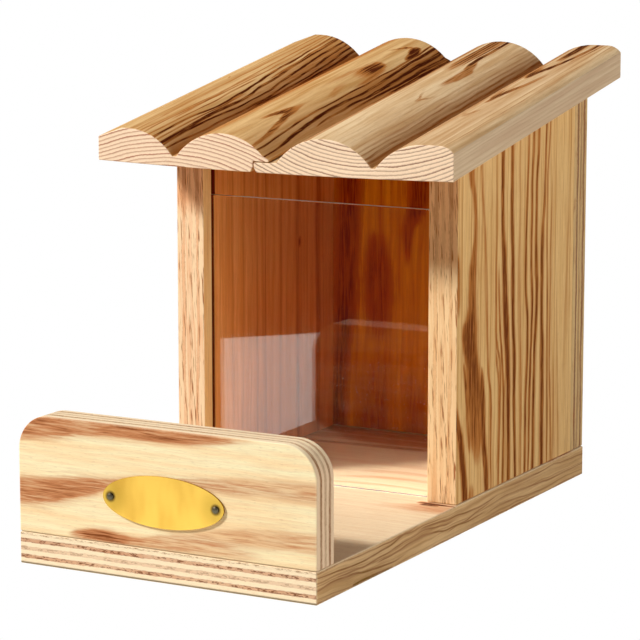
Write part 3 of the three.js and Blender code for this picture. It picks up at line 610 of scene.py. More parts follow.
# The left board's two waves, then the right board's. Crisp dark lines, and broad bands along the valleys and
# the flanks beside them: partly scorch, partly painted shade and warm bounce light.
LEFT_ROOF_FLAMES = [
    # A broad band along a valley and the flank beside it: partly scorch, partly painted shade and warm bounce
    # light.
    [(-9, -54, 8, 0.16), (60, -54, 8, 0.24), (120, -55, 8, 0.34), (206, -58, 10, 0.42)],
    [(-9, -66, 0.35, 0.6), (40, -67.6, 0.35, 0.6), (100, -67, 0.4, 0.5), (140, -67.8, 0.4, 0.5),
     (200, -71.5, 0.4, 0.45)],
    [(-9, -61.6, 0.6, 0.85), (30, -62.4, 0.6, 0.85), (60, -61.4, 0.6, 0.85), (80, -61.6, 0.75, 1),
     (100, -63, 0.75, 1), (120, -64.6, 0.65, 0.9), (140, -65.4, 0.6, 0.85), (170, -67, 0.6, 0.8),
     (200, -69.6, 0.6, 0.8)],
    [(-9, -57.8, 0.7, 1), (30, -58.2, 0.8, 1), (60, -59.2, 0.9, 1), (80, -58.6, 0.65, 0.95),
     (100, -60.2, 0.65, 0.95), (120, -61.2, 0.65, 0.95), (140, -62.6, 0.6, 0.95), (170, -64, 0.6, 0.95),
     (200, -66, 0.65, 0.95)],
    [(-9, -56.6, 0.35, 0.9), (40, -57.2, 0.5, 1), (60, -57, 0.5, 1), (80, -56.4, 0.4, 0.9),
     (120, -58.5, 0.5, 1), (140, -59.6, 0.6, 1), (170, -61.2, 0.6, 1), (200, -63, 0.6, 1)],
    [(-9, -55, 0.3, 0.7), (40, -54.6, 0.35, 0.8), (80, -54.4, 0.4, 0.8), (110, -55.6, 0.4, 0.9),
     (140, -57, 0.45, 0.95), (170, -58.8, 0.5, 1), (200, -60.6, 0.6, 1)],
    [(60, -52.8, 0.3, 0), (100, -54.2, 0.4, 0.8), (130, -54.6, 0.4, 0.9), (160, -56, 0.45, 0.95),
     (200, -58.4, 0.6, 1)],
    [(110, -53, 0.3, 0), (140, -53.8, 0.4, 0.9), (170, -54.6, 0.5, 1), (200, -56.2, 0.6, 1)],
    band(-9, 200, -70.6, -75.4, 0.6, 0.6, 10, 10, 0.42),
    band(20, 200, -66, -72.6, 0.5, 0.6, 30, 10, 0.5),
    band(-9, 200, -73.4, -78.6, 0.35, 0.35, 10, 10, 0.28),
    band(10, 200, -77, -82, 0.35, 0.35, 20, 10, 0.26),
    band(-9, 110, -64, -65.6, 0.4, 0.4, 6, 20, 0.6),
    band(-9, 120, -68.6, -68.2, 0.4, 0.4, 4, 20, 0.5),
    band(-9, 90, -60, -60.6, 0.4, 0.4, 4, 16, 0.7),
    band(110, 200, -61.8, -66.8, 0.4, 0.5, 20, 6, 0.7),
    band(98, 104, -76, -79, 0.5, 0.5, 3, 3, 0.5),
    # Broad bands along a valley and the flank beside it: partly scorch, partly painted shade and warm bounce
    # light.
    [(-9, -43, 9, 0.36), (60, -43, 9, 0.46), (206, -43, 9, 0.5)],
    [(-9, -34, 3, 0.36), (60, -34, 3, 0.46), (206, -34, 3, 0.5)],
    [(100, -41, 5, 0), (140, -40, 6, 0.62), (206, -40, 6, 0.7)],
    # Broad bands along a valley and the flank beside it: partly scorch, partly painted shade and warm bounce
    # light.
    [(-9, -4, 6.4, 0.18), (60, -4, 6.4, 0.28), (120, -5, 6.4, 0.38), (206, -5, 6, 0.46)],
    [(-9, -10, 6, 0.2), (70, -10, 5, 0.2), (110, -10, 4, 0)],
    [(-9, -6.4, 0.5, 0.8), (20, -7.6, 0.5, 0.85), (50, -9, 0.5, 0.8), (80, -9.8, 0.5, 0.85),
     (100, -9.8, 0.5, 0.85), (140, -10, 0.5, 0.85), (170, -10.6, 0.5, 0.8), (200, -11.6, 0.5, 0.8)],
    [(-9, -2.8, 0.5, 0.9), (20, -4.2, 0.6, 1), (40, -5.6, 0.75, 1), (60, -6.9, 0.8, 1), (80, -7.5, 0.75, 1),
     (100, -7, 0.65, 1), (120, -7.1, 0.65, 1), (140, -8, 0.7, 1), (160, -8.9, 0.8, 1), (200, -9.4, 0.8, 1)],
    [(50, -3.4, 0.35, 0), (64, -4.6, 0.4, 0.8), (90, -5, 0.5, 0.95), (110, -4.6, 0.6, 1),
     (140, -5.4, 0.75, 1), (170, -6, 1, 1), (200, -6.6, 1.1, 1)],
    [(80, -2.4, 0.35, 0), (100, -3, 0.6, 0.9), (140, -2.9, 1, 1), (170, -3.4, 1.2, 1), (200, -3.6, 1.4, 1)],
    [(110, -1, 0.4, 0), (140, -1, 1, 1), (200, -1.2, 1.3, 1)],
    [(2, -9, 0.8, 0.5), (20, -10.8, 1.1, 0.66), (34, -13, 1.4, 0.72), (44, -14.8, 1.9, 0.8),
     (52, -15.8, 2, 0.86), (58, -16.1, 1.4, 0.66), (68, -16.3, 0.7, 0)],
    [(29, -20.8, 0.8, 0), (37, -20, 1.3, 0.66), (44, -18.8, 1.8, 0.8), (52, -17, 2, 0.86),
     (60, -16.4, 1.1, 0.56), (68, -16.3, 0.6, 0)],
    [(80, -12, 1.4, 0), (90, -13.6, 1.8, 0.34), (98, -15, 1.7, 0.34), (108, -15.6, 1, 0)],
    [(112, -16, 3.4, 0), (120, -16, 3.8, 0.3), (127, -16, 4, 0.7), (134, -16, 4, 0.98),
     (142, -16.2, 3.4, 0.95), (148, -16.4, 2.4, 0)],
    [(92, -22, 1.2, 0), (110, -21.4, 1.5, 0.28), (128, -20.2, 1.4, 0.36), (140, -19, 1, 0)],
    [(100, -10.8, 0.8, 0), (118, -11.2, 1, 0.5), (134, -12, 1.4, 0.6), (144, -12.6, 1.1, 0)],
    [(160, -10.8, 1, 0), (168, -11.8, 1.8, 0.9), (176, -13, 2.6, 1), (181, -13.6, 1.8, 0.9),
     (184, -13.6, 1, 0)],
    [(164, -23, 0.6, 0), (170, -20.6, 0.8, 0.5), (177, -17.4, 1.2, 0.75), (182, -15, 1, 0)],
]
RIGHT_ROOF_FLAMES = [
    # Broad bands along a valley and the flank beside it, the darkest partly scorch and partly painted shade.
    [(-9, 9, 7, 0.36), (60, 9, 7, 0.5), (206, 9, 7, 0.5)],
    [(-9, 17, 3, 0.36), (60, 17, 3, 0.46), (206, 17, 3, 0.46)],
    [(50, 10, 3, 0), (70, 11, 4, 0.7), (85, 13, 5, 0.95), (110, 14, 5, 1), (150, 13, 5.4, 1), (175, 11, 5, 1),
     (206, 10, 4, 1)],
    [(126, 26, 2, 0), (146, 26, 4.6, 0.46), (206, 26, 4.6, 0.56)],
    band(138, 206, 23.4, 22.6, 0.7, 1, 16, 3, 0.85),
    band(132, 206, 25.6, 25.2, 0.6, 0.9, 20, 3, 0.9),
    band(128, 206, 27.8, 27.4, 0.5, 0.7, 20, 3, 0.8),
    band(136, 206, 29.8, 29.6, 0.5, 0.6, 20, 3, 0.75),
    [(134, 34.4, 0.7, 0), (142, 33.2, 1, 0.8), (152, 32.2, 1.1, 0.9), (170, 31.6, 1, 0.92),
     (206, 31.4, 1.1, 0.95)],
    [(102, 35.2, 0.8, 0), (112, 35.4, 1.6, 0.44), (122, 36, 2.5, 0.66), (132, 36.2, 2.6, 0.72),
     (140, 35, 2, 0.68), (148, 33.6, 1.3, 0.66), (154, 32.6, 0.9, 0)],
    [(76, 36, 0.4, 0), (81, 35.8, 0.6, 0.5), (88, 34, 0.6, 0.35), (96, 32.6, 0.5, 0)],
    [(76, 36.2, 0.4, 0), (81, 36.6, 0.6, 0.5), (88, 38.4, 0.6, 0.35), (96, 39.4, 0.5, 0)],
    band(-9, 206, 42.6, 41.6, 0.4, 0.4, 4, 3, 0.24),
    band(-9, 206, 44.8, 44, 0.35, 0.4, 4, 3, 0.28),
    band(-9, 206, 46.4, 45.8, 0.35, 0.4, 4, 3, 0.32),
    band(-9, 206, 48, 47.6, 0.4, 0.45, 4, 3, 0.38),
    band(-9, 206, 49.6, 49.4, 0.4, 0.5, 4, 3, 0.5),
    # Broad bands along a valley and the flank beside it: partly scorch, partly painted shade and warm bounce
    # light.
    [(-9, 52, 4, 0.2), (206, 52, 4, 0.34)],
    [(-9, 59, 7, 0.32), (60, 59, 7, 0.42), (206, 59, 7, 0.46)],
    [(-9, 66.5, 2.4, 0.36), (206, 66.5, 2.4, 0.4)],
    [(110, 62, 4, 0), (140, 62, 5, 0.6), (206, 61, 5, 0.66)],
    [(156, 73.6, 1.8, 0), (166, 73, 2.6, 0.8), (180, 73, 3, 0.95), (206, 74, 3.2, 0.95)],
    [(125, 70.8, 1.4, 0), (133, 71.4, 2.6, 0.95), (140, 73.2, 2.6, 0.95), (150, 76, 1.9, 0.88),
     (165, 78.4, 1.5, 0.84), (180, 79.6, 1.3, 0.8), (206, 81, 1.2, 0.75)],
    [(128, 70, 2.2, 0), (136, 69.6, 3, 0.9), (146, 69, 2.4, 0.6), (158, 68.6, 1.6, 0)],
    [(150, 80, 0.5, 0), (170, 81.6, 0.6, 0.5), (206, 83.6, 0.7, 0.55)],
    [(76, 72, 1.2, 0), (84, 72, 2.1, 0.7), (92, 72.6, 2.6, 0.85), (100, 74.2, 2.1, 0.8), (110, 77, 1.5, 0.72),
     (122, 78.6, 1.2, 0.6), (140, 79.4, 1, 0)],
    [(86, 70.8, 1.4, 0), (94, 70.2, 2.2, 0.66), (104, 69.6, 1.6, 0.4), (114, 69.2, 1.2, 0)],
    [(50, 72, 0.8, 0), (57, 72.8, 1.8, 0.5), (62, 74.6, 1.5, 0.44), (68, 76.4, 1, 0)],
    [(-9, 77, 9.6, 0.2), (206, 77, 9.6, 0.22)],
    [(54, 71.6, 0.5, 0), (59, 70.4, 1.1, 0.4), (64, 69.2, 0.8, 0)],
    band(-9, 206, 84.2, 85.4, 0.35, 0.35, 4, 3, 0.3),
    band(-9, 206, 87.2, 87.6, 0.35, 0.35, 4, 3, 0.3),
    band(-9, 120, 81, 81.6, 0.3, 0.3, 6, 20, 0.24),
    band(-9, 160, 78.2, 78.6, 0.3, 0.3, 6, 20, 0.2),
]
BACK_INSIDE_FLAMES = [
    [(-4, -57, 4, 0.8), (40, -55, 5, 0.84), (60, -53, 7, 0.8), (100, -52, 7.4, 0.72), (130, -51, 8.4, 0.74),
     (190, -50, 8.4, 0.78)],
    [(40, -34, 6, 0), (60, -34, 8, 0.56), (80, -34, 8.6, 0.7), (94, -34, 7, 0.62), (108, -34, 4, 0)],
    [(84, -17, 1.5, 0), (100, -17, 2.5, 0.6), (112, -14, 4.6, 0.66), (125, -11, 6.6, 0.74),
     (190, -10, 7.4, 0.76)],
    [(-4, -36, 9.5, 0.6), (14, -35, 9, 0.5), (30, -34, 8, 0.4), (54, -32, 6, 0)],
    [(-4, -12, 8, 0.5), (20, -13, 6, 0.36), (44, -14, 4, 0)],
    band(10, 120, 12, 9, 3.5, 5, 20, 20, 0.6),
    band(60, 190, 32, 34, 4, 3, 20, 10, 0.6),
    band(-4, 110, 48, 45, 2.6, 4, 6, 20, 0.8),
]
PLATE_BACK_FLAMES = [
    band(-4, 100, 52, 55, 3.4, 5, 5, 20, 0.7),
    band(40, 160, 30, 34, 3, 4.2, 12, 5, 0.6),
    band(-4, 60, 24, 20, 3, 2, 5, 16, 0.55),
]
LEFT_INSIDE_FLAMES = [
    band(-4, 190, 55, 54, 0.6, 0.7, 4, 4, 0.35),
    band(-4, 190, 64, 62.5, 0.8, 0.7, 4, 4, 0.4),
    band(-4, 190, 78, 79, 1, 1.2, 4, 4, 0.35),
    band(-4, 190, 97, 95, 1.6, 2.4, 4, 4, 0.45),
    band(-4, 190, 118, 116.5, 2, 3, 4, 4, 0.5),
    band(100, 108, 97.5, 98.5, 1.5, 1.2, 4, 4, 0.9),
    band(20, 190, 31, 30, 0.7, 0.9, 10, 4, 0.3),
    band(-4, 160, 40, 42, 0.6, 0.7, 4, 20, 0.3),
]
LEFT_OUTSIDE_FLAMES = [
    [(-4, 24, 5, 0.6), (40, 22, 6, 0.7), (80, 25, 5, 0.8), (110, 27, 2.6, 0.5), (130, 28, 1.6, 0)],
    [(60, 38, 2, 0), (84, 36.5, 2.6, 0.7), (130, 34, 3.6, 0.75), (190, 33, 4, 0.7)],
    [(-4, 50, 1.2, 0.9), (50, 52, 1.4, 0.95), (100, 51, 1.8, 0.9), (190, 55, 1.2, 0.8)],
    [(-4, 60, 1, 0.7), (60, 62, 1.2, 0.8), (190, 60, 1.2, 0.8)],
    [(30, 69, 1, 0), (50, 70, 1.6, 0.75), (110, 73, 1.6, 0.8), (190, 72, 0.9, 0.7)],
    [(-4, 84, 1, 0.7), (60, 81, 1.3, 0.75), (130, 82, 1.4, 0.7), (160, 80, 1, 0)],
    [(-4, 93, 1, 0.8), (80, 95, 1.2, 0.85), (190, 93, 0.9, 0.7)],
    [(20, 108, 2, 0), (40, 107, 3, 0.7), (90, 104, 2.4, 0.7), (120, 104, 1.2, 0)],
    [(-4, 121, 0.9, 0.6), (190, 119, 1.1, 0.55)],
    [(10, 8, 2, 0), (26, 9, 2.8, 0.8), (60, 11, 2.2, 0.8), (82, 12, 1.2, 0)],
]
BACK_OUTSIDE_FLAMES = [
    [(-4, -59, 4.5, 0.7), (40, -56, 5, 0.75), (90, -52, 3.4, 0.6), (114, -51, 2, 0)],
    [(70, -44, 2, 0), (96, -45, 3, 0.8), (140, -47.5, 4.6, 0.85), (200, -46, 4, 0.7)],
    [(-4, -33, 1.2, 0.8), (60, -31, 1.6, 0.9), (120, -33, 1.4, 0.85), (200, -30, 1, 0.7)],
    [(-4, -21, 1.4, 0.85), (70, -23.5, 1.8, 0.9), (130, -21, 1.4, 0.85), (200, -22, 1.2, 0.8)],
    [(36, -9, 2, 0), (60, -9.6, 3.6, 0.85), (110, -11, 3, 0.85), (136, -12, 2, 0.6), (154, -12, 1, 0)],
    [(-4, 2, 1.4, 0.75), (50, 0, 2, 0.8), (94, 1, 1.2, 0)],
    [(-4, 13, 1.1, 0.85), (80, 16, 1.4, 0.9), (200, 14, 1, 0.75)],
    [(-4, 24, 0.9, 0.7), (90, 22, 1.2, 0.75), (200, 24, 1.2, 0.7)],
    [(30, 37, 2, 0), (54, 38, 3.8, 0.8), (120, 41, 3, 0.8), (200, 40, 2, 0.7)],
    [(-4, 55, 2, 0.7), (70, 52, 3.2, 0.75), (124, 50, 2, 0)],
    [(80, 62, 1.2, 0), (104, 63, 2, 0.65), (200, 66, 2.4, 0.6)],
]
BASE_TOP_FLAMES = [
    [(110, 120, 3, 0), (124, 122, 6, 0.24), (138, 124, 9, 0.38), (150, 124, 9, 0.36), (160, 124, 8, 0.3)],
    [(130, 134, 2.4, 0), (134, 133.6, 1.6, 0.9), (142, 132.8, 1.5, 1), (149, 132.6, 1, 0.8),
     (153, 132.6, 1, 0)],
    [(132.5, 130, 0.8, 0), (136, 130.6, 1.6, 1), (141, 130.4, 1.3, 0.9), (144, 130.4, 0.8, 0)],
    [(60, 150, 2, 0), (76, 154, 2.4, 0.26), (90, 157, 2.4, 0.32), (104, 158, 2.2, 0.3), (126, 156, 2, 0.24),
     (146, 152, 2, 0)],
    [(66, 163, 2.4, 0), (80, 168, 2.8, 0.28), (94, 172, 3, 0.32), (110, 173, 2.6, 0.3), (140, 168, 2, 0)],
    [(70, 178, 2.8, 0), (86, 183, 3.4, 0.28), (100, 185, 3.4, 0.3), (140, 184, 3, 0)],
    band(40, 130, 196, 201, 4.2, 5, 14, 14, 0.2),
    # Three bands that darken the far end of the floor inside, near the back panel: painted shade.
    band(-4, 90, 228, 236, 3, 4, 6, 14, 0.6),
    band(-4, 160, 246, 246, 8, 8, 4, 4, 0.5),
    band(-4, 160, 260, 260, 9, 9, 4, 4, 0.56),
]
BASE_UNDERSIDE_FLAMES = [
    band(-4, 120, 30, 36, 4, 3, 8, 24, 0.6),
    band(40, 160, 74, 70, 3, 5, 16, 6, 0.55),
    band(-4, 160, 118, 124, 2, 2.6, 4, 4, 0.5),
    band(20, 140, 168, 160, 5, 3, 20, 20, 0.6),
    band(-4, 160, 214, 220, 2.4, 3, 4, 4, 0.5),
    band(50, 160, 252, 248, 4, 3, 20, 6, 0.55),
]
# Brown lines that slope both ways over the base's long edges, an olive stain, and a thin dark line along the
# bottom that is painted contact shadow
BASE_SIDE_FLAMES = [
    [(0, 11, 0.3, 0.5), (30, 10, 0.4, 0.6), (60, 11.5, 0.4, 0.6), (85, 13.5, 0.4, 0.5), (100, 15, 0.3, 0)],
    [(0, 5.5, 0.4, 0.6), (20, 6.6, 0.4, 0.6), (45, 5, 0.5, 0.7), (70, 4, 0.4, 0.5), (90, 4.5, 0.3, 0)],
    [(15, 8, 0.3, 0), (30, 7.6, 0.4, 0.5), (60, 9, 0.4, 0.55), (90, 10, 0.4, 0.55), (120, 8.6, 0.4, 0.5),
     (140, 8, 0.3, 0)],
    [(50, 6.4, 0.3, 0), (70, 7.4, 0.4, 0.5), (95, 8, 0.4, 0.5), (125, 5.4, 0.5, 0.6), (150, 4.6, 0.4, 0.5),
     (170, 5.6, 0.3, 0)],
    [(90, 11.6, 0.3, 0), (110, 11, 0.5, 0.55), (140, 10, 0.5, 0.6), (165, 9, 0.4, 0.5), (185, 9.6, 0.3, 0)],
    [(120, 3.4, 0.3, 0), (140, 5, 0.4, 0.5), (160, 7.4, 0.4, 0.5), (175, 8.6, 0.3, 0)],
    [(32, 1.6, 0.7, 0), (34, 1.6, 0.7, 0.9), (66, 1.7, 0.6, 0.85), (71, 1.7, 0.5, 0)],
    [(0, 8.8, 0.3, 0.4), (25, 8.6, 0.3, 0.4), (50, 7.2, 0.3, 0)],
    # Painted contact shadow along the bottom arris
    [(-4, 0.2, 0.3, 0.5), (286, 0.2, 0.3, 0.5)],
    [(-4, 12.6, 0.3, 0.4), (60, 13.4, 0.3, 0.5), (120, 12.2, 0.3, 0.4), (170, 13, 0.3, 0)],
    [(170, 6.2, 0.3, 0), (200, 7, 0.4, 0.5), (240, 5.4, 0.4, 0.5), (286, 6, 0.3, 0.4)],
    [(180, 11.8, 0.3, 0), (215, 10.8, 0.4, 0.5), (250, 11.6, 0.3, 0.4), (286, 10.6, 0.3, 0.4)],
    [(160, 2.8, 0.3, 0), (190, 3.6, 0.4, 0.5), (230, 2.4, 0.3, 0.4), (270, 3.2, 0.3, 0)],
]

# Where the flames' places are counted from. On the plate and the walls that is a little past the
# board's corner.
TABLE_MARGIN = 0.002
WALL_TABLE_MARGIN = 0.0029
ROOF_TABLE_HEIGHT = 0.16981
PLATE_ORIGIN = (base_low.x - TABLE_MARGIN, base_low.y, -TABLE_MARGIN)
WALL_CORNER = (wall_low.y - WALL_TABLE_MARGIN, base_high.z - TABLE_MARGIN)  # its Y and Z
RIGHT_WALL_ORIGIN = (wall_high.x, *WALL_CORNER)
RIGHT_INSIDE_ORIGIN = (wall_low.x, *WALL_CORNER)
LEFT_WALL_ORIGIN = (-wall_high.x, *WALL_CORNER)
BACK_INSIDE_ORIGIN = (0, back_low.y, base_high.z)
BACK_OUTSIDE_ORIGIN = (0, back_high.y, base_high.z)
BASE_TOP_ORIGIN = (base_low.x, base_low.y, base_high.z)
BASE_UNDERSIDE_ORIGIN = (base_low.x, base_low.y, 0)
BASE_SIDE_ORIGIN = (0, base_low.y, 0)
ROOF_ORIGIN = (0, roof_low.y, ROOF_TABLE_HEIGHT)
UNPLACED = (0, 0, 0)  # for faces too small for their grain's place to show

# The plain wood's two tones, and the scorched wood's two
PLATE_TONES = (PALE_PLY, WARM_PLY)
SHADED_PLY_TONES = (WARM_PLY, TAN_PLY)
UNDERSIDE_TONES = (TAN_PLY, WARM_PLY)
WALL_TONES = (colour(232, 194, 132), colour(220, 176, 112))
WALL_SCORCHES = (colour(172, 106, 46), colour(104, 46, 0))
WALL_LINE = colour(182, 124, 60)
# Inside the box the same plywood is given deeper, more orange tones and scorches: painted shade and warm
# bounce light.
INSIDE_TONES = (colour(243, 167, 94), colour(229, 146, 70))
INSIDE_SCORCHES = (colour(190, 100, 34), colour(120, 44, 8))
# The inner faces in front of the window are given paler tones than the rest of the inside: painted light.
LIP_TONES = (colour(255, 212, 146), colour(250, 196, 128))
# The window's groove is near black-red: painted shade in the slot.
GROOVE_SHADE_TONES = (colour(124, 26, 4), colour(92, 12, 0))
# The back panel's inside is deeper orange still: painted shade and warm bounce light.
BACK_INSIDE_TONES = (colour(240, 152, 20), colour(215, 118, 10))
BACK_INSIDE_SCORCHES = (colour(184, 78, 8), colour(128, 34, 0))
BASE_TOP_TONES = (colour(237, 214, 176), colour(233, 206, 166))
BASE_TOP_SCORCHES = (SCORCH, colour(64, 22, 6))
BASE_SIDE_TONES = (colour(220, 184, 134), colour(198, 158, 106))
BASE_SIDE_SCORCHES = (colour(156, 112, 74), colour(124, 94, 34))
ROOF_TONES = (PINE_PALE, PINE_TAN)
WARM_ROOF_TONES = (colour(236, 199, 141), colour(207, 158, 95))
LEFT_ROOF_SCORCHES = (colour(190, 121, 58), colour(84, 30, 4))
RIGHT_ROOF_SCORCHES = (colour(178, 116, 60), colour(74, 28, 6))
BATTEN_TONES = (PINE_PALE, WARM_PLY)
# On the edges, the tone of the long plies and that of the cross plies
BASE_EDGE_TONES = (colour(254, 234, 198), colour(212, 160, 124))
PLATE_EDGE_TONES = (colour(228, 200, 166), colour(158, 116, 80))
# The plate's top edge is paler: painted highlight where it faces the light.
PLATE_EDGE_HIGHLIGHT_TONES = (colour(249, 228, 192), colour(212, 168, 126))
RIGHT_EDGE_TONES = (colour(247, 211, 161), colour(235, 183, 128))
# The walls' front edges are darker near their tops: painted shade where the roof's shadow falls.
RIGHT_EDGE_SHADE_TONES = (colour(232, 182, 130), colour(192, 138, 90))
LEFT_EDGE_TONES = (colour(249, 218, 177), colour(235, 173, 126))
# Painted shade where the roof's shadow falls, as on the right.
LEFT_EDGE_SHADE_TONES = (colour(236, 180, 134), colour(194, 134, 92))
BACK_EDGE_TONES = (colour(210, 176, 124), colour(146, 106, 74))

plate_face = face_grain(
    "Plate face", PLATE_ORIGIN, ALONG_X, PLATE_TONES, PLATE_FLAMES, lines=0.05, spacing=6.0,
    board="front_plate", streak=0.05)
plate_back_face = face_grain(
    "Plate back face", PLATE_ORIGIN, ALONG_X, SHADED_PLY_TONES, PLATE_BACK_FLAMES, lines=0.25, spacing=5.0,
    wander=1.6, board="front_plate")
right_wall_face = face_grain(
    "Right wall face", RIGHT_WALL_ORIGIN, ALONG_Z_FACING_X, WALL_TONES, RIGHT_WALL_FLAMES, lines=0.8,
    spacing=3.1, scorch=WALL_SCORCHES, line_tone=WALL_LINE, halo=0.42, streak=0.24)
left_wall_face = face_grain(
    "Left wall face", LEFT_WALL_ORIGIN, ALONG_Z_FACING_X, WALL_TONES, LEFT_OUTSIDE_FLAMES, lines=0.5,
    spacing=2.9, wander=1.8, scorch=WALL_SCORCHES, line_tone=WALL_LINE)
left_wall_inside = face_grain(
    "Left wall inside", LEFT_WALL_ORIGIN, ALONG_Z_FACING_X, INSIDE_TONES, LEFT_INSIDE_FLAMES, lines=0.4,
    spacing=3.4, wander=0.8, scorch=INSIDE_SCORCHES)
right_wall_inside = face_grain(
    "Right wall inside", RIGHT_INSIDE_ORIGIN, ALONG_Z_FACING_X, INSIDE_TONES, LEFT_OUTSIDE_FLAMES, lines=0.35,
    spacing=3.8, wander=1.2, scorch=INSIDE_SCORCHES)
back_inside_face = face_grain(
    "Back panel inside", BACK_INSIDE_ORIGIN, ALONG_Z_FACING_Y, BACK_INSIDE_TONES, BACK_INSIDE_FLAMES,
    lines=0.3, spacing=4.0, wander=1.0, scorch=BACK_INSIDE_SCORCHES, halo=0.6, streak=0.2)
back_outside_face = face_grain(
    "Back panel face", BACK_OUTSIDE_ORIGIN, ALONG_Z_FACING_Y, WALL_TONES, BACK_OUTSIDE_FLAMES, lines=0.5,
    spacing=3.1, wander=2.2, scorch=WALL_SCORCHES, line_tone=WALL_LINE, board="back_panel")
base_top_face = face_grain(
    "Base top", BASE_TOP_ORIGIN, ALONG_X_FLAT, BASE_TOP_TONES, BASE_TOP_FLAMES, lines=0.08, spacing=7.0,
    wander=1.0, scorch=BASE_TOP_SCORCHES, board="base_board")
base_underside_face = face_grain(
    "Base underside", BASE_UNDERSIDE_ORIGIN, ALONG_X_FLAT, UNDERSIDE_TONES, BASE_UNDERSIDE_FLAMES,
    lines=0.3, spacing=5.0, wander=2.6, board="base_board")
base_side = face_grain(
    "Base side", BASE_SIDE_ORIGIN, ALONG_Y_FACING_X, BASE_SIDE_TONES, BASE_SIDE_FLAMES, lines=0.7,
    spacing=1.7, wander=3.0, scorch=BASE_SIDE_SCORCHES, board="base_board", rough=0.72, halo=0.2)
left_roof_top = face_grain(
    "Left roof board top", ROOF_ORIGIN, ALONG_Y, WARM_ROOF_TONES, LEFT_ROOF_FLAMES, lines=0.5, spacing=2.6,
    wander=0.4, pitch=ROOF_PITCH, scorch=LEFT_ROOF_SCORCHES, halo=0.08, streak=0.09)
right_roof_top = face_grain(
    "Right roof board top", ROOF_ORIGIN, ALONG_Y, ROOF_TONES, RIGHT_ROOF_FLAMES, lines=0.34, spacing=2.8,
    wander=0.4, pitch=ROOF_PITCH, scorch=RIGHT_ROOF_SCORCHES, halo=0.14, streak=0.09)
roof_underside = face_grain(
    "Roof underside", ROOF_ORIGIN, ALONG_Y, ROOF_TONES, lines=0.45, spacing=3.6, wander=2.4,
    pitch=ROOF_PITCH)
batten_face = face_grain(
    "Batten", ROOF_ORIGIN, ALONG_X_FLAT, BATTEN_TONES, lines=0.4, spacing=2.6, wander=0.6, pitch=ROOF_PITCH)
# Painted shade: the groove is dark for the shade in it.
groove_shade = face_grain(
    "Window groove", UNPLACED, ALONG_Z_FACING_X, GROOVE_SHADE_TONES, lines=0.3, spacing=1.6,
    scorch=INSIDE_SCORCHES)
# Painted light: the inner face in front of the window is paler than the inside, for the light that falls on
# it.
wall_lip = face_grain(
    "Wall beside the window", UNPLACED, ALONG_Z_FACING_X, LIP_TONES, lines=0.3, spacing=2.6, wander=0.6,
    scorch=INSIDE_SCORCHES)

base_edge = ply_edge("Base edge", "base_board", ALONG_Y, BASE_EDGE_TONES, pits=0.85, foot=True)
# Its top edge gets the painted highlight.
plate_edge = ply_edge(
    "Plate edge", "front_plate", ALONG_X, PLATE_EDGE_TONES, pits=0.5,
    upper=(0.056, 0.0675, PLATE_EDGE_HIGHLIGHT_TONES))
# The walls' front edges get the painted shade of the roof's shadow near their tops.
right_wall_edge = ply_edge(
    "Right wall edge", "right_wall", ALONG_Z_FACING_X, RIGHT_EDGE_TONES, strength=0.7, sway=0.8, pits=0.1,
    dashes=0.9, upper=(0.121, 0.129, RIGHT_EDGE_SHADE_TONES))
left_wall_edge = ply_edge(
    "Left wall edge", "left_wall", ALONG_Z_FACING_X, LEFT_EDGE_TONES, strength=0.7, sway=1.2, pits=0.1,
    dashes=0.9, upper=(0.138, 0.150, LEFT_EDGE_SHADE_TONES))
back_edge = ply_edge(
    "Back panel edge", "back_panel", ALONG_Z_FACING_Y, BACK_EDGE_TONES, strength=1.2, sway=0.8, pits=0.4,
    dashes=0.7)

SAW_GRAIN = (1.1, 1.0, 7.0)


def end_grain(name, centre, spacing, ring):
    """A sawn pine end: thin brown rings on cream round a centre, with faint rays and a rough saw cut."""
    material, w = new_material(name)
    vector = board_vector(w, ROOF_ORIGIN, ALONG_Y, ROOF_PITCH)
    rings = w.group(RINGS, Vector=vector, Centre=centre, Spacing=spacing)
    strength = w.fade(rings["Strength"], 0.0, 1.0, 0.6, 1.0)
    ringed = w.times(rings["Late"], strength, w.fade(rings["Rays"], 0.36, 0.64, 1.0, 0.7))
    wood = w.tint(w.fade(rings["Rays"], 0.3, 0.8), PINE_END, PINE_RAYS)
    wood = w.tint(ringed, wood, ring)
    saw = w.noise(vector, SAW_GRAIN, 2, 0.6)
    relief = w.math("ADD", saw, w.times(rings["Late"], 0.6))
    finish_wood(w, wood, relief, w.fade(saw, 0.3, 0.7, 0.74, 0.84))
    return material


left_roof_end = end_grain("Left roof board end", (-52.0, 0, -112.0), 1.8, colour(150, 62, 22))
right_roof_end = end_grain("Right roof board end", (48.0, 0, 112.0), 1.75, colour(116, 60, 34))
batten_end = end_grain("Batten end", (0, 0, -40.0), 1.8, colour(170, 112, 80))

PLANED_TONES = (colour(214, 190, 156), colour(200, 170, 138))
PLANED_LINE = colour(176, 142, 108)
PLANED_FIBRE = colour(176, 146, 116)


def planed_side(name):
    """The roof's side edges: planed pine, greyer than the top, with close straight lines."""
    material, w = new_material(name)
    vector = board_vector(w, ROOF_ORIGIN, ALONG_Y_FACING_X, ROOF_PITCH)
    fibre = w.group(FIBRE, Vector=vector)
    growth = w.group(GROWTH_LINES, Vector=vector, Spacing=1.9)
    wood = w.tint(w.fade(fibre["Broad"], 0.3, 0.7), *PLANED_TONES)
    wood = w.tint(w.times(growth["Late"], 0.25), wood, PLANED_LINE)
    wood = w.tint(w.fade(fibre["Fine"], 0.4, 0.8, 0.0, 0.3), wood, PLANED_FIBRE)
    relief = w.math("ADD", fibre["Fine"], growth["Late"])
    finish_wood(w, wood, relief, w.fade(fibre["Fine"], 0.3, 0.7, 0.66, 0.74))
    return material


roof_side = planed_side("Roof side")


# Metal and acrylic

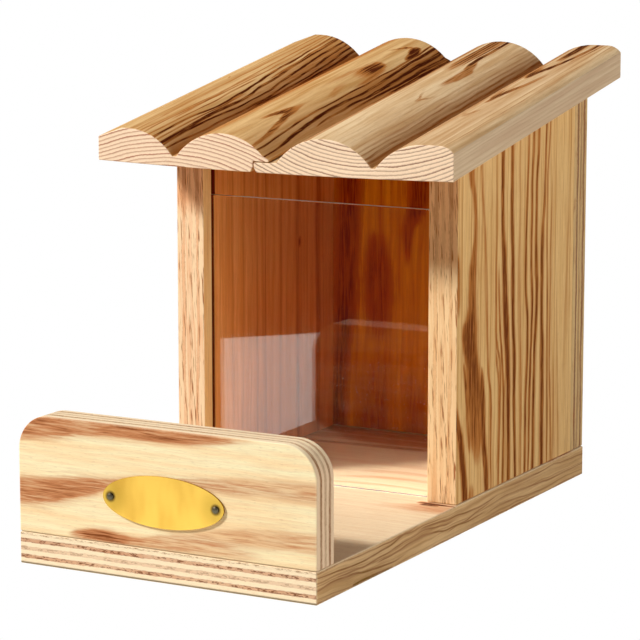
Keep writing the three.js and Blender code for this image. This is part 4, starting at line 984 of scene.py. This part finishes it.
IN_MM = (1 / MM, 1 / MM, 1 / MM)
CLOUD_GRAIN = (0.09, 0.09, 0.03)
# A darker brass, which the oval turns to towards each pin
DARKER_BRASS = colour(150, 118, 42)
HOLE_BROWN = colour(82, 62, 30)
hole_low, hole_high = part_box("oval_plate_right_pin")
HOLE_PLACE = ((hole_low.x + hole_high.x) / 2 / MM, 0, (hole_low.z + hole_high.z) / 2 / MM)


def metal(name, tone, rough, scratch, tarnish, hole=None):
    """A metal with faint tarnish and fine scratches, whose grain is given. Round a pin's hole, given for
    the right side and mirrored on the left, it is darker."""
    material, w = new_material(name)
    vector = w.stretch(w.place(), IN_MM)
    lines = w.noise(vector, scratch, 3, 0.6)
    cloud = w.noise(vector, CLOUD_GRAIN, 2, 0.5)
    base = w.tint(w.fade(cloud, 0.35, 0.7, 0.0, 0.7), tone, tarnish)
    if hole:
        x, _, z = w.split(vector)
        away = w.distance(w.join(w.math("ABSOLUTE", x), 0.0, z), hole)
        base = w.tint(w.fade(away, 12.0, 2.0, 0.0, 0.55), base, DARKER_BRASS)
        base = w.tint(w.fade(away, 3.1, 1.8, 0.0, 0.85), base, HOLE_BROWN)
    shine = w.fade(lines, 0.3, 0.7, rough - 0.06, rough + 0.08)
    shine = w.math("ADD", shine, w.fade(cloud, 0.4, 0.8, 0.0, 0.1))
    inputs = {"Base Color": base, "Roughness": shine, "Normal": w.bump(lines, 0.25, 0.02), "Metallic": 1.0}
    shader = w.add("ShaderNodeBsdfPrincipled", inputs)
    w.add("ShaderNodeOutputMaterial", {0: shader.outputs[0]})
    return material


oval_brass = metal(
    "Oval brass", colour(199, 156, 71), 0.36, (0.25, 2.0, 7.0), colour(176, 130, 50), HOLE_PLACE)
hinge_brass = metal("Hinge brass", colour(236, 194, 96), 0.3, (0.4, 2.0, 5.0), colour(170, 126, 60))
bright_steel = metal("Bright steel", colour(150, 146, 136), 0.34, (2.0, 2.0, 2.0), colour(104, 96, 82))
dark_steel = metal("Dark steel", colour(84, 76, 62), 0.5, (2.0, 2.0, 2.0), colour(48, 42, 32))
screw_steel = metal("Screw steel", colour(206, 196, 160), 0.3, (3.0, 3.0, 3.0), colour(150, 136, 104))

SPECK_GRAIN = (1.2, 1.2, 1.2)
HAZE_GRAIN = (0.2, 0.2, 0.16)
# Where the dust starts and where it is thickest, in millimetres
DUST_FROM_ABOVE = (112.0, 70.0)
DUST_FROM_BELOW = (24.0, 42.0)
DUST_FROM_LEFT = (-18.0, 4.0)


def clear_pane(name, rough, dusty):
    """Clear acrylic that lets lamps through, with dust and a few specks low down on its right."""
    material, w = new_material(name)
    vector = w.stretch(w.place(), IN_MM)
    side, _, height = w.split(vector)
    specks = w.fade(w.noise(vector, SPECK_GRAIN, 3, 0.7), 0.6, 0.72)
    haze = w.fade(w.noise(vector, HAZE_GRAIN, 5, 0.75), 0.47, 0.68)
    low = w.times(
        w.fade(height, *DUST_FROM_ABOVE), w.fade(height, *DUST_FROM_BELOW, 0.1, 1.0),
        w.fade(side, *DUST_FROM_LEFT, 0.15, 1.0))
    dust = w.times(low, w.math("MULTIPLY_ADD", specks, 0.5, w.times(haze, 0.28)))
    dull = w.math("MULTIPLY_ADD", w.times(low, specks), 0.3 * dusty, rough)
    glass = w.add("ShaderNodeBsdfPrincipled", {
        "Base Color": (1, 1, 1, 1), "Roughness": dull, "IOR": 1.49, "Transmission Weight": 1.0,
        "Normal": w.bump(specks, 0.1, 0.01), "Coat Weight": w.times(dust, dusty), "Coat Roughness": 0.62})
    clear = w.add("ShaderNodeBsdfTransparent", {"Color": (0.97, 0.98, 0.97, 1)})
    lamp_ray = w.add("ShaderNodeLightPath", {}).outputs["Is Shadow Ray"]
    w.add("ShaderNodeOutputMaterial", {0: w.mix(lamp_ray, glass.outputs[0], clear.outputs[0])})
    return material


pane_face = clear_pane("Pane face", 0.0, 1.0)
pane_edge = clear_pane("Pane edge", 0.5, 0.5)


# Shapes

screw_boxes = [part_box(name) for name in frame["nodes"] if name.endswith(("screw", "pin"))]


def in_screw_hole(point):
    for low, high in screw_boxes:
        if all(low[i] - HOLE_ROOM < point[i] < high[i] + HOLE_ROOM for i in range(3)):
            return True
    return False


def eased(edge):
    """Whether an edge is an outer arris: sharp, outward, and not a hole's rim."""
    if len(edge.link_faces) != 2 or not edge.is_convex:
        return False
    if edge.calc_face_angle(0) < ARRIS_ANGLE:
        return False
    return not all(in_screw_hole(v.co) for v in edge.verts)


def mesh_of(shape, name):
    mesh = bpy.data.meshes.new(name)
    shape.to_mesh(mesh)
    shape.free()
    return mesh


def stand(name, data):
    """Puts a new object in the scene."""
    thing = bpy.data.objects.new(name, data)
    bpy.context.scene.collection.objects.link(thing)
    return thing


def show(mesh, name, node, materials, smooth=ROUND_ANGLE):
    """Gives a mesh its materials, and lets it ride on a CAD node's body and stand for the node."""
    for material in materials:
        mesh.materials.append(material)
    mesh.set_sharp_from_angle(angle=smooth)
    piece = stand(name, mesh)
    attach(piece, frame["nodes"][node]["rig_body"])
    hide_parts(node)


def eased_copy(node, arris, dress, smooth=CURVE_ANGLE):
    """A merged copy of a CAD piece, its arrises sanded and its faces given their materials."""
    shape = bmesh.new()
    shape.from_mesh(frame["nodes"][node].data)
    bmesh.ops.remove_doubles(shape, verts=shape.verts, dist=CAD_MERGE)
    bmesh.ops.dissolve_limit(shape, angle_limit=FLAT_ANGLE, verts=shape.verts, edges=shape.edges)
    edges = [edge for edge in shape.edges if eased(edge)]
    bmesh.ops.bevel(
        shape, geom=edges, affect="EDGES", offset=arris, segments=ARRIS_STEPS, profile=0.5, material=-1)
    bmesh.ops.recalc_face_normals(shape, faces=shape.faces)
    materials = []
    for face in shape.faces:
        face.smooth = True
        chosen = dress(face.normal, face.calc_center_median())
        if chosen not in materials:
            materials.append(chosen)
        face.material_index = materials.index(chosen)
    name = f"{node}_eased"
    show(mesh_of(shape, name), name, node, materials, smooth)


def by_side(low, high, edge, axis, straight=STRAIGHT):
    """Gives a board's two broad faces and its edges their materials. Axis is the board's thin way, and
    a face counts as broad where its normal is at least as straight as that."""
    def dress(normal, place):
        if abs(normal[axis]) < straight:
            return edge
        return high if normal[axis] > 0 else low
    return dress


# What lies between these is a groove's own face. They stand a little clear of its walls and its floor.
GROOVE_FRONT, GROOVE_BACK = pane_low.y - 0.001, pane_high.y + 0.001
GROOVE_MOUTH_X, GROOVE_FLOOR_X = wall_low.x + 0.0002, pane_high.x + 0.0008


def wall_dress(low, high, edge):
    """A wall's faces by side; the window's groove, painted dark for the shade in it; and the inner face in
    front of the groove, painted paler for the light on it.
    """
    by_wall_side = by_side(low, high, edge, 0)

    def dress(normal, place):
        if abs(normal.z) < STRAIGHT and abs(place.x) < GROOVE_FLOOR_X:
            if GROOVE_FRONT < place.y < GROOVE_BACK and abs(place.x) > GROOVE_MOUTH_X:
                return groove_shade
            if place.y < GROOVE_FRONT and abs(normal.x) > STRAIGHT:
                return wall_lip
        return by_wall_side(normal, place)
    return dress


def base_dress(normal, place):
    if normal.z > STRAIGHT:
        return base_top_face
    if normal.z < -STRAIGHT:
        return base_underside_face
    return base_side if abs(normal.x) > STRAIGHT else base_edge


ROOF_SIDE_X = roof_high.x - 0.0014  # past which a face that looks sideways is the roof's side
ROOF_STRAIGHT = 0.8


def roof_dress(top, end):
    def dress(normal, place):
        if abs(normal.y) > STRAIGHT:
            return end
        if normal.z < -ROOF_STRAIGHT:
            return roof_underside
        return roof_side if abs(place.x) > ROOF_SIDE_X and abs(normal.x) > ROOF_STRAIGHT else top
    return dress


def batten_dress(normal, place):
    return batten_end if abs(normal.x) > STRAIGHT else batten_face


def one(material):
    return lambda normal, place: material


BACK_STRAIGHT = 0.97  # the back panel's bevelled top is an edge too

eased_copy("base_board", BOARD_ARRIS, base_dress)
eased_copy("front_plate", BOARD_ARRIS, by_side(plate_face, plate_back_face, plate_edge, 1))
eased_copy(
    "left_wall", BOARD_ARRIS,
    wall_dress(left_wall_face, left_wall_inside, left_wall_edge))
eased_copy(
    "right_wall", BOARD_ARRIS,
    wall_dress(right_wall_inside, right_wall_face, right_wall_edge))
eased_copy(
    "back_panel", BOARD_ARRIS,
    by_side(back_inside_face, back_outside_face, back_edge, 1, BACK_STRAIGHT))
eased_copy("left_roof_board", ROOF_ARRIS, roof_dress(left_roof_top, left_roof_end))
eased_copy("right_roof_board", ROOF_ARRIS, roof_dress(right_roof_top, right_roof_end))
for end in ("front", "rear"):
    eased_copy(f"{end}_batten", BOARD_ARRIS, batten_dress)
eased_copy("window_pane", PANE_ARRIS, by_side(pane_face, pane_face, pane_edge, 1))
eased_copy("oval_plate", METAL_ARRIS, one(oval_brass))
for side in ("left", "right"):
    for half in ("lower", "upper"):
        eased_copy(
            f"{side}_hinge_{half}_leaf", METAL_ARRIS, one(hinge_brass), smooth=ROUND_ANGLE)


# Screws and pins

# Sizes in metres: head radius, cone depth, shank radius and length, and the cross recess's reach
SCREWS = {
    "wall": (0.0038, 0.003, 0.0018, 0.040, 0.0021),
    "plate": (0.0034, 0.0026, 0.0016, 0.035, 0.0019),
    "batten": (0.003, 0.0022, 0.0014, 0.020, 0.0017),
    "leaf": (0.0021, 0.0009, 0.0009, 0.010, 0.0012),
}
SPUN_SIDES = 24
TIP_SHARE = 0.12
THREAD_SHARE = 0.62  # of the shank that is threaded, from the tip's shoulder
CORE_SHARE = 0.74  # of the shank's radius, at the thread's root
CREST_SHARE, ROOT_SHARE = 0.5, 0.9  # of a turn, where the ridge is widest and where it ends
RECESS_DEPTH_SHARE = 0.45  # of the head's cone
RECESS_WIDTH_SHARE = 0.34  # of the recess's reach
RECESS_TAPER = (0.45, 0.8, 1)
HEAD_RIM = 0.00012
HEAD_FLATNESS = 1e-5  # how far apart the vertices of a CAD head's top may lie
FIRST_TURN, NEXT_TURN = 0.9, 2.4  # how the recesses are left, in radians


def spun(profile):
    """A closed round shape from a profile of radius and depth, spun about Z."""
    shape = bmesh.new()
    verts = [shape.verts.new((radius, 0, depth)) for radius, depth in profile]
    edges = [shape.edges.new(pair) for pair in zip(verts, verts[1:])]
    bmesh.ops.spin(
        shape, geom=verts + edges, cent=(0, 0, 0), axis=(0, 0, 1), angle=math.tau, steps=SPUN_SIDES,
        use_merge=True)
    bmesh.ops.remove_doubles(shape, verts=shape.verts, dist=SPUN_MERGE)
    bmesh.ops.recalc_face_normals(shape, faces=shape.faces)
    return shape


def thread(shank, shoulder):
    """Ridges down the shank, as radius and depth."""
    core = shank * CORE_SHARE
    top = -shoulder * (1 - THREAD_SHARE)
    pitch = shank
    points = []
    for turn in range(int(shoulder * THREAD_SHARE / pitch)):
        depth = top - turn * pitch
        points += [(core, depth), (shank, depth - pitch * CREST_SHARE), (core, depth - pitch * ROOT_SHARE)]
    return points


def cross_cutter(reach, depth):
    """A tapered cross that is cut into a screw's head."""
    shape = bmesh.new()
    size = (2 * reach, 2 * reach * RECESS_WIDTH_SHARE, 2 * depth)
    for turn in (0, math.pi / 2):
        verts = bmesh.ops.create_cube(shape, size=1)["verts"]
        bmesh.ops.scale(shape, vec=size, verts=verts)
        bmesh.ops.scale(shape, vec=RECESS_TAPER, verts=[v for v in verts if v.co.z < 0])
        bmesh.ops.rotate(shape, matrix=Matrix.Rotation(turn, 3, "Z"), verts=verts, cent=(0, 0, 0))
    return shape


def screw_mesh(name, head, cone, shank, length, reach):
    """A countersunk screw, its head's top at the origin and its tip along -Z."""
    shoulder = length * (1 - TIP_SHARE)
    profile = [
        (0, 0), (head - HEAD_RIM, 0), (head, -HEAD_RIM), (shank, -cone),
        *thread(shank, shoulder), (shank * CORE_SHARE, -shoulder), (0, -length),
    ]
    body = stand(name, mesh_of(spun(profile), name))
    recess = cross_cutter(reach, cone * RECESS_DEPTH_SHARE)
    cutter = stand(f"{name}_cutter", mesh_of(recess, f"{name}_recess"))
    cut = body.modifiers.new("recess", "BOOLEAN")
    cut.object, cut.operation, cut.solver, cut.use_self = cutter, "DIFFERENCE", "EXACT", True
    graph = bpy.context.evaluated_depsgraph_get()
    finished = bpy.data.meshes.new_from_object(body.evaluated_get(graph))
    finished.materials.clear()
    for part in (body, cutter):
        bpy.data.objects.remove(part)
    return finished


def head_place(node, way):
    """Where a screw's head's top middle is. Way points from its head to its tip."""
    points = [vertex.co for vertex in frame["nodes"][node].data.vertices]
    first = min(point.dot(way) for point in points)
    rim = [point for point in points if point.dot(way) < first + HEAD_FLATNESS]
    return Vector([(min(p[i] for p in rim) + max(p[i] for p in rim)) / 2 for i in range(3)])


SCREW_MESHES = {kind: screw_mesh(f"{kind}_screw", *sizes) for kind, sizes in SCREWS.items()}
DOWN, UP, FORWARD = Vector((0, 0, -1)), Vector((0, 0, 1)), Vector((0, -1, 0))
UP_INTO_ROOF = Matrix.Rotation(ROOF_PITCH, 3, "X") @ UP


def screw_kind(node):
    """A screw's kind and the way it was driven, from its name."""
    if "_hinge_" in node:
        return "leaf", FORWARD
    if "_batten_" in node:
        return "batten", UP_INTO_ROOF
    if "_plate_" in node:
        return "plate", UP
    return "wall", FORWARD if "_back_lower" in node or "_back_upper" in node else UP


def put_screw(node, turn):
    """Puts a screw in its CAD screw's place, its recess turned as a hand would leave it."""
    kind, way = screw_kind(node)
    mesh = SCREW_MESHES[kind].copy()
    tilt = DOWN.rotation_difference(way).to_matrix().to_4x4()
    mesh.transform(Matrix.Translation(head_place(node, way)) @ tilt @ Matrix.Rotation(turn, 4, "Z"))
    show(mesh, f"{node}_finished", node, [screw_steel])


screw_nodes = sorted(name for name in frame["nodes"] if name.endswith("_screw"))
for number, node in enumerate(screw_nodes):
    put_screw(node, FIRST_TURN + NEXT_TURN * number)

SMALL_PIN_HEAD, SMALL_PIN_DOME, SMALL_PIN_RADIUS, SMALL_PIN_LENGTH = 0.0016, 0.0009, 0.0006, 0.009
DOME_STEPS = 8
HINGE_PIN_DOME = [(0, 0), (0.7, 0.0001), (1, 0.0004)]  # a share of its radius, and how far from its end


def put_pin(node, profile, axis, place, material):
    """Spins a pin, lays it down about an axis and puts it in its CAD pin's place."""
    shape = spun(profile)
    bmesh.ops.rotate(shape, matrix=Matrix.Rotation(math.pi / 2, 3, axis), verts=shape.verts, cent=(0, 0, 0))
    bmesh.ops.translate(shape, vec=place, verts=shape.verts)
    for face in shape.faces:
        face.smooth = True
    name = f"{node}_finished"
    show(mesh_of(shape, name), name, node, [material])


def round_headed_pin(side):
    """A pin with a domed head and a small lip under it."""
    node = f"oval_plate_{side}_pin"
    low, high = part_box(node)
    angles = [math.pi / 2 * step / DOME_STEPS for step in range(DOME_STEPS + 1)]
    profile = [(SMALL_PIN_HEAD * math.sin(angle), SMALL_PIN_DOME * math.cos(angle)) for angle in angles]
    shoulder = SMALL_PIN_LENGTH - SMALL_PIN_RADIUS
    profile += [(SMALL_PIN_RADIUS, 0), (SMALL_PIN_RADIUS, -shoulder), (0, -SMALL_PIN_LENGTH)]
    place = Vector(((low.x + high.x) / 2, low.y + SMALL_PIN_DOME, (low.z + high.z) / 2))
    put_pin(node, profile, "X", place, dark_steel)


def hinge_pin(side):
    """A hinge pin with slightly domed ends."""
    node = f"{side}_hinge_pin"
    low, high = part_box(node)
    radius, half = (high.z - low.z) / 2, (high.x - low.x) / 2
    profile = [(radius * share, half - depth) for share, depth in HINGE_PIN_DOME]
    profile += [(r, -z) for r, z in reversed(profile)]
    put_pin(node, profile, "Y", (low + high) / 2, bright_steel)


for side in ("left", "right"):
    round_headed_pin(side)
    hinge_pin(side)


# Stage, lights and camera

# The lamps' places, what they face, their sizes, watts and tones
LAMPS = {
    "key": ((-2.44, -2.04, 2.62), (0, 0, 0.08), (0.57, 0.57), 200, (1, 1, 1)),
    "right fill": ((2.2, -0.15, 0.4), (0, 0, 0.1), (1.5, 1.2), 30.5, (1, 1, 1)),
    "front fill": ((0.2, -2.4, 0.6), (0, 0, 0.1), (1.2, 0.8), 1.5, (1, 0.82, 0.62)),
}
WHITE = (1, 1, 1, 1)
FLOOR_TONE = (0.62, 0.58, 0.54, 1)
FLOOR_REACH = 30
FLOOR_DROP = 0.0002  # below the box
# Where the glowing patch on the floor ends, a painted reflection of lit paper seen only in the window's
# reflection
PAPER_EDGE_FROM, PAPER_EDGE_TO = (-0.2828, -0.3878), (-0.2344, -0.4376)
PAPER_SOFTNESS = 0.004
PAPER_TONE = (0.92, 1, 0.92, 1)
UNLIT, LIT = 0.03, 2.7  # how bright the floor glows in the window, off the paper and on it: painted reflection
ROOM_TONE = (1, 0.84, 0.66, 1)
ROOM_LIGHT = 0.085
CAMERA_PLACE = (0.6176, -1.1384, 0.3174)
CAMERA_DIP, CAMERA_TURN = math.radians(9.77), math.radians(28.48)
CAMERA_LENS, CAMERA_SENSOR = 157.15, 36  # in millimetres


def area_light(name, place, target, size, power, tone):
    light = bpy.data.lights.new(name, "AREA")
    light.shape = "RECTANGLE"
    light.size, light.size_y = size
    light.energy = power
    light.color = tone
    lamp = stand(name, light)
    lamp.location = place
    lamp.rotation_euler = (Vector(target) - Vector(place)).to_track_quat("-Z", "Y").to_euler()


def make_floor():
    """A white floor like the photograph's cut-out, with a patch that glows only in reflections: a painted
    reflection of lit paper in the window.
    """
    floor = bmesh.new()
    bmesh.ops.create_grid(floor, x_segments=1, y_segments=1, size=FLOOR_REACH)
    bmesh.ops.translate(floor, vec=(0, 0, -FLOOR_DROP), verts=floor.verts)
    mesh = mesh_of(floor, "floor")
    piece = stand("floor", mesh)
    material, w = new_material("Pale floor")
    x, y, _ = w.split(w.place())
    run = (PAPER_EDGE_TO[0] - PAPER_EDGE_FROM[0]) / (PAPER_EDGE_TO[1] - PAPER_EDGE_FROM[1])
    edge = w.math("MULTIPLY_ADD", w.math("SUBTRACT", y, PAPER_EDGE_FROM[1]), run, PAPER_EDGE_FROM[0])
    lit = w.fade(w.math("SUBTRACT", x, edge), -PAPER_SOFTNESS, PAPER_SOFTNESS)
    bright = w.fade(lit, 0.0, 1.0, UNLIT, LIT)
    ray = w.add("ShaderNodeLightPath", {}).outputs
    white = w.add("ShaderNodeEmission", {"Color": WHITE, "Strength": 1.0}).outputs[0]
    # A painted reflection: emission that stands in for lit paper, seen only by glossy rays.
    paper_glow = w.add("ShaderNodeEmission", {"Color": PAPER_TONE, "Strength": bright}).outputs[0]
    matt = w.add("ShaderNodeBsdfDiffuse", {"Color": FLOOR_TONE}).outputs[0]
    mixed = w.mix(ray["Is Camera Ray"], w.mix(ray["Is Glossy Ray"], matt, paper_glow), white)
    w.add("ShaderNodeOutputMaterial", {0: mixed})
    mesh.materials.append(material)


def make_world():
    """White for the camera, like the photograph's cut-out, and dimmer for light and reflections."""
    world = bpy.data.worlds.new("Studio")
    world.use_nodes = True
    world.node_tree.nodes.clear()
    w = Wiring(world.node_tree)
    seen = w.add("ShaderNodeLightPath", {}).outputs["Is Camera Ray"]
    white = w.add("ShaderNodeBackground", {"Color": WHITE, "Strength": 1.0}).outputs[0]
    dim = w.add("ShaderNodeBackground", {"Color": ROOM_TONE, "Strength": ROOM_LIGHT}).outputs[0]
    w.add("ShaderNodeOutputWorld", {0: w.mix(seen, dim, white)})
    bpy.context.scene.world = world


def make_camera():
    data = bpy.data.cameras.new("camera")
    data.sensor_width = CAMERA_SENSOR
    data.lens = CAMERA_LENS
    camera = stand("camera", data)
    camera.location = CAMERA_PLACE
    camera.rotation_euler = (math.pi / 2 - CAMERA_DIP, 0, CAMERA_TURN)
    bpy.context.scene.camera = camera


make_floor()
make_world()
make_camera()
for name, settings in LAMPS.items():
    area_light(name, *settings)
bpy.context.scene.view_settings.view_transform = "Standard"
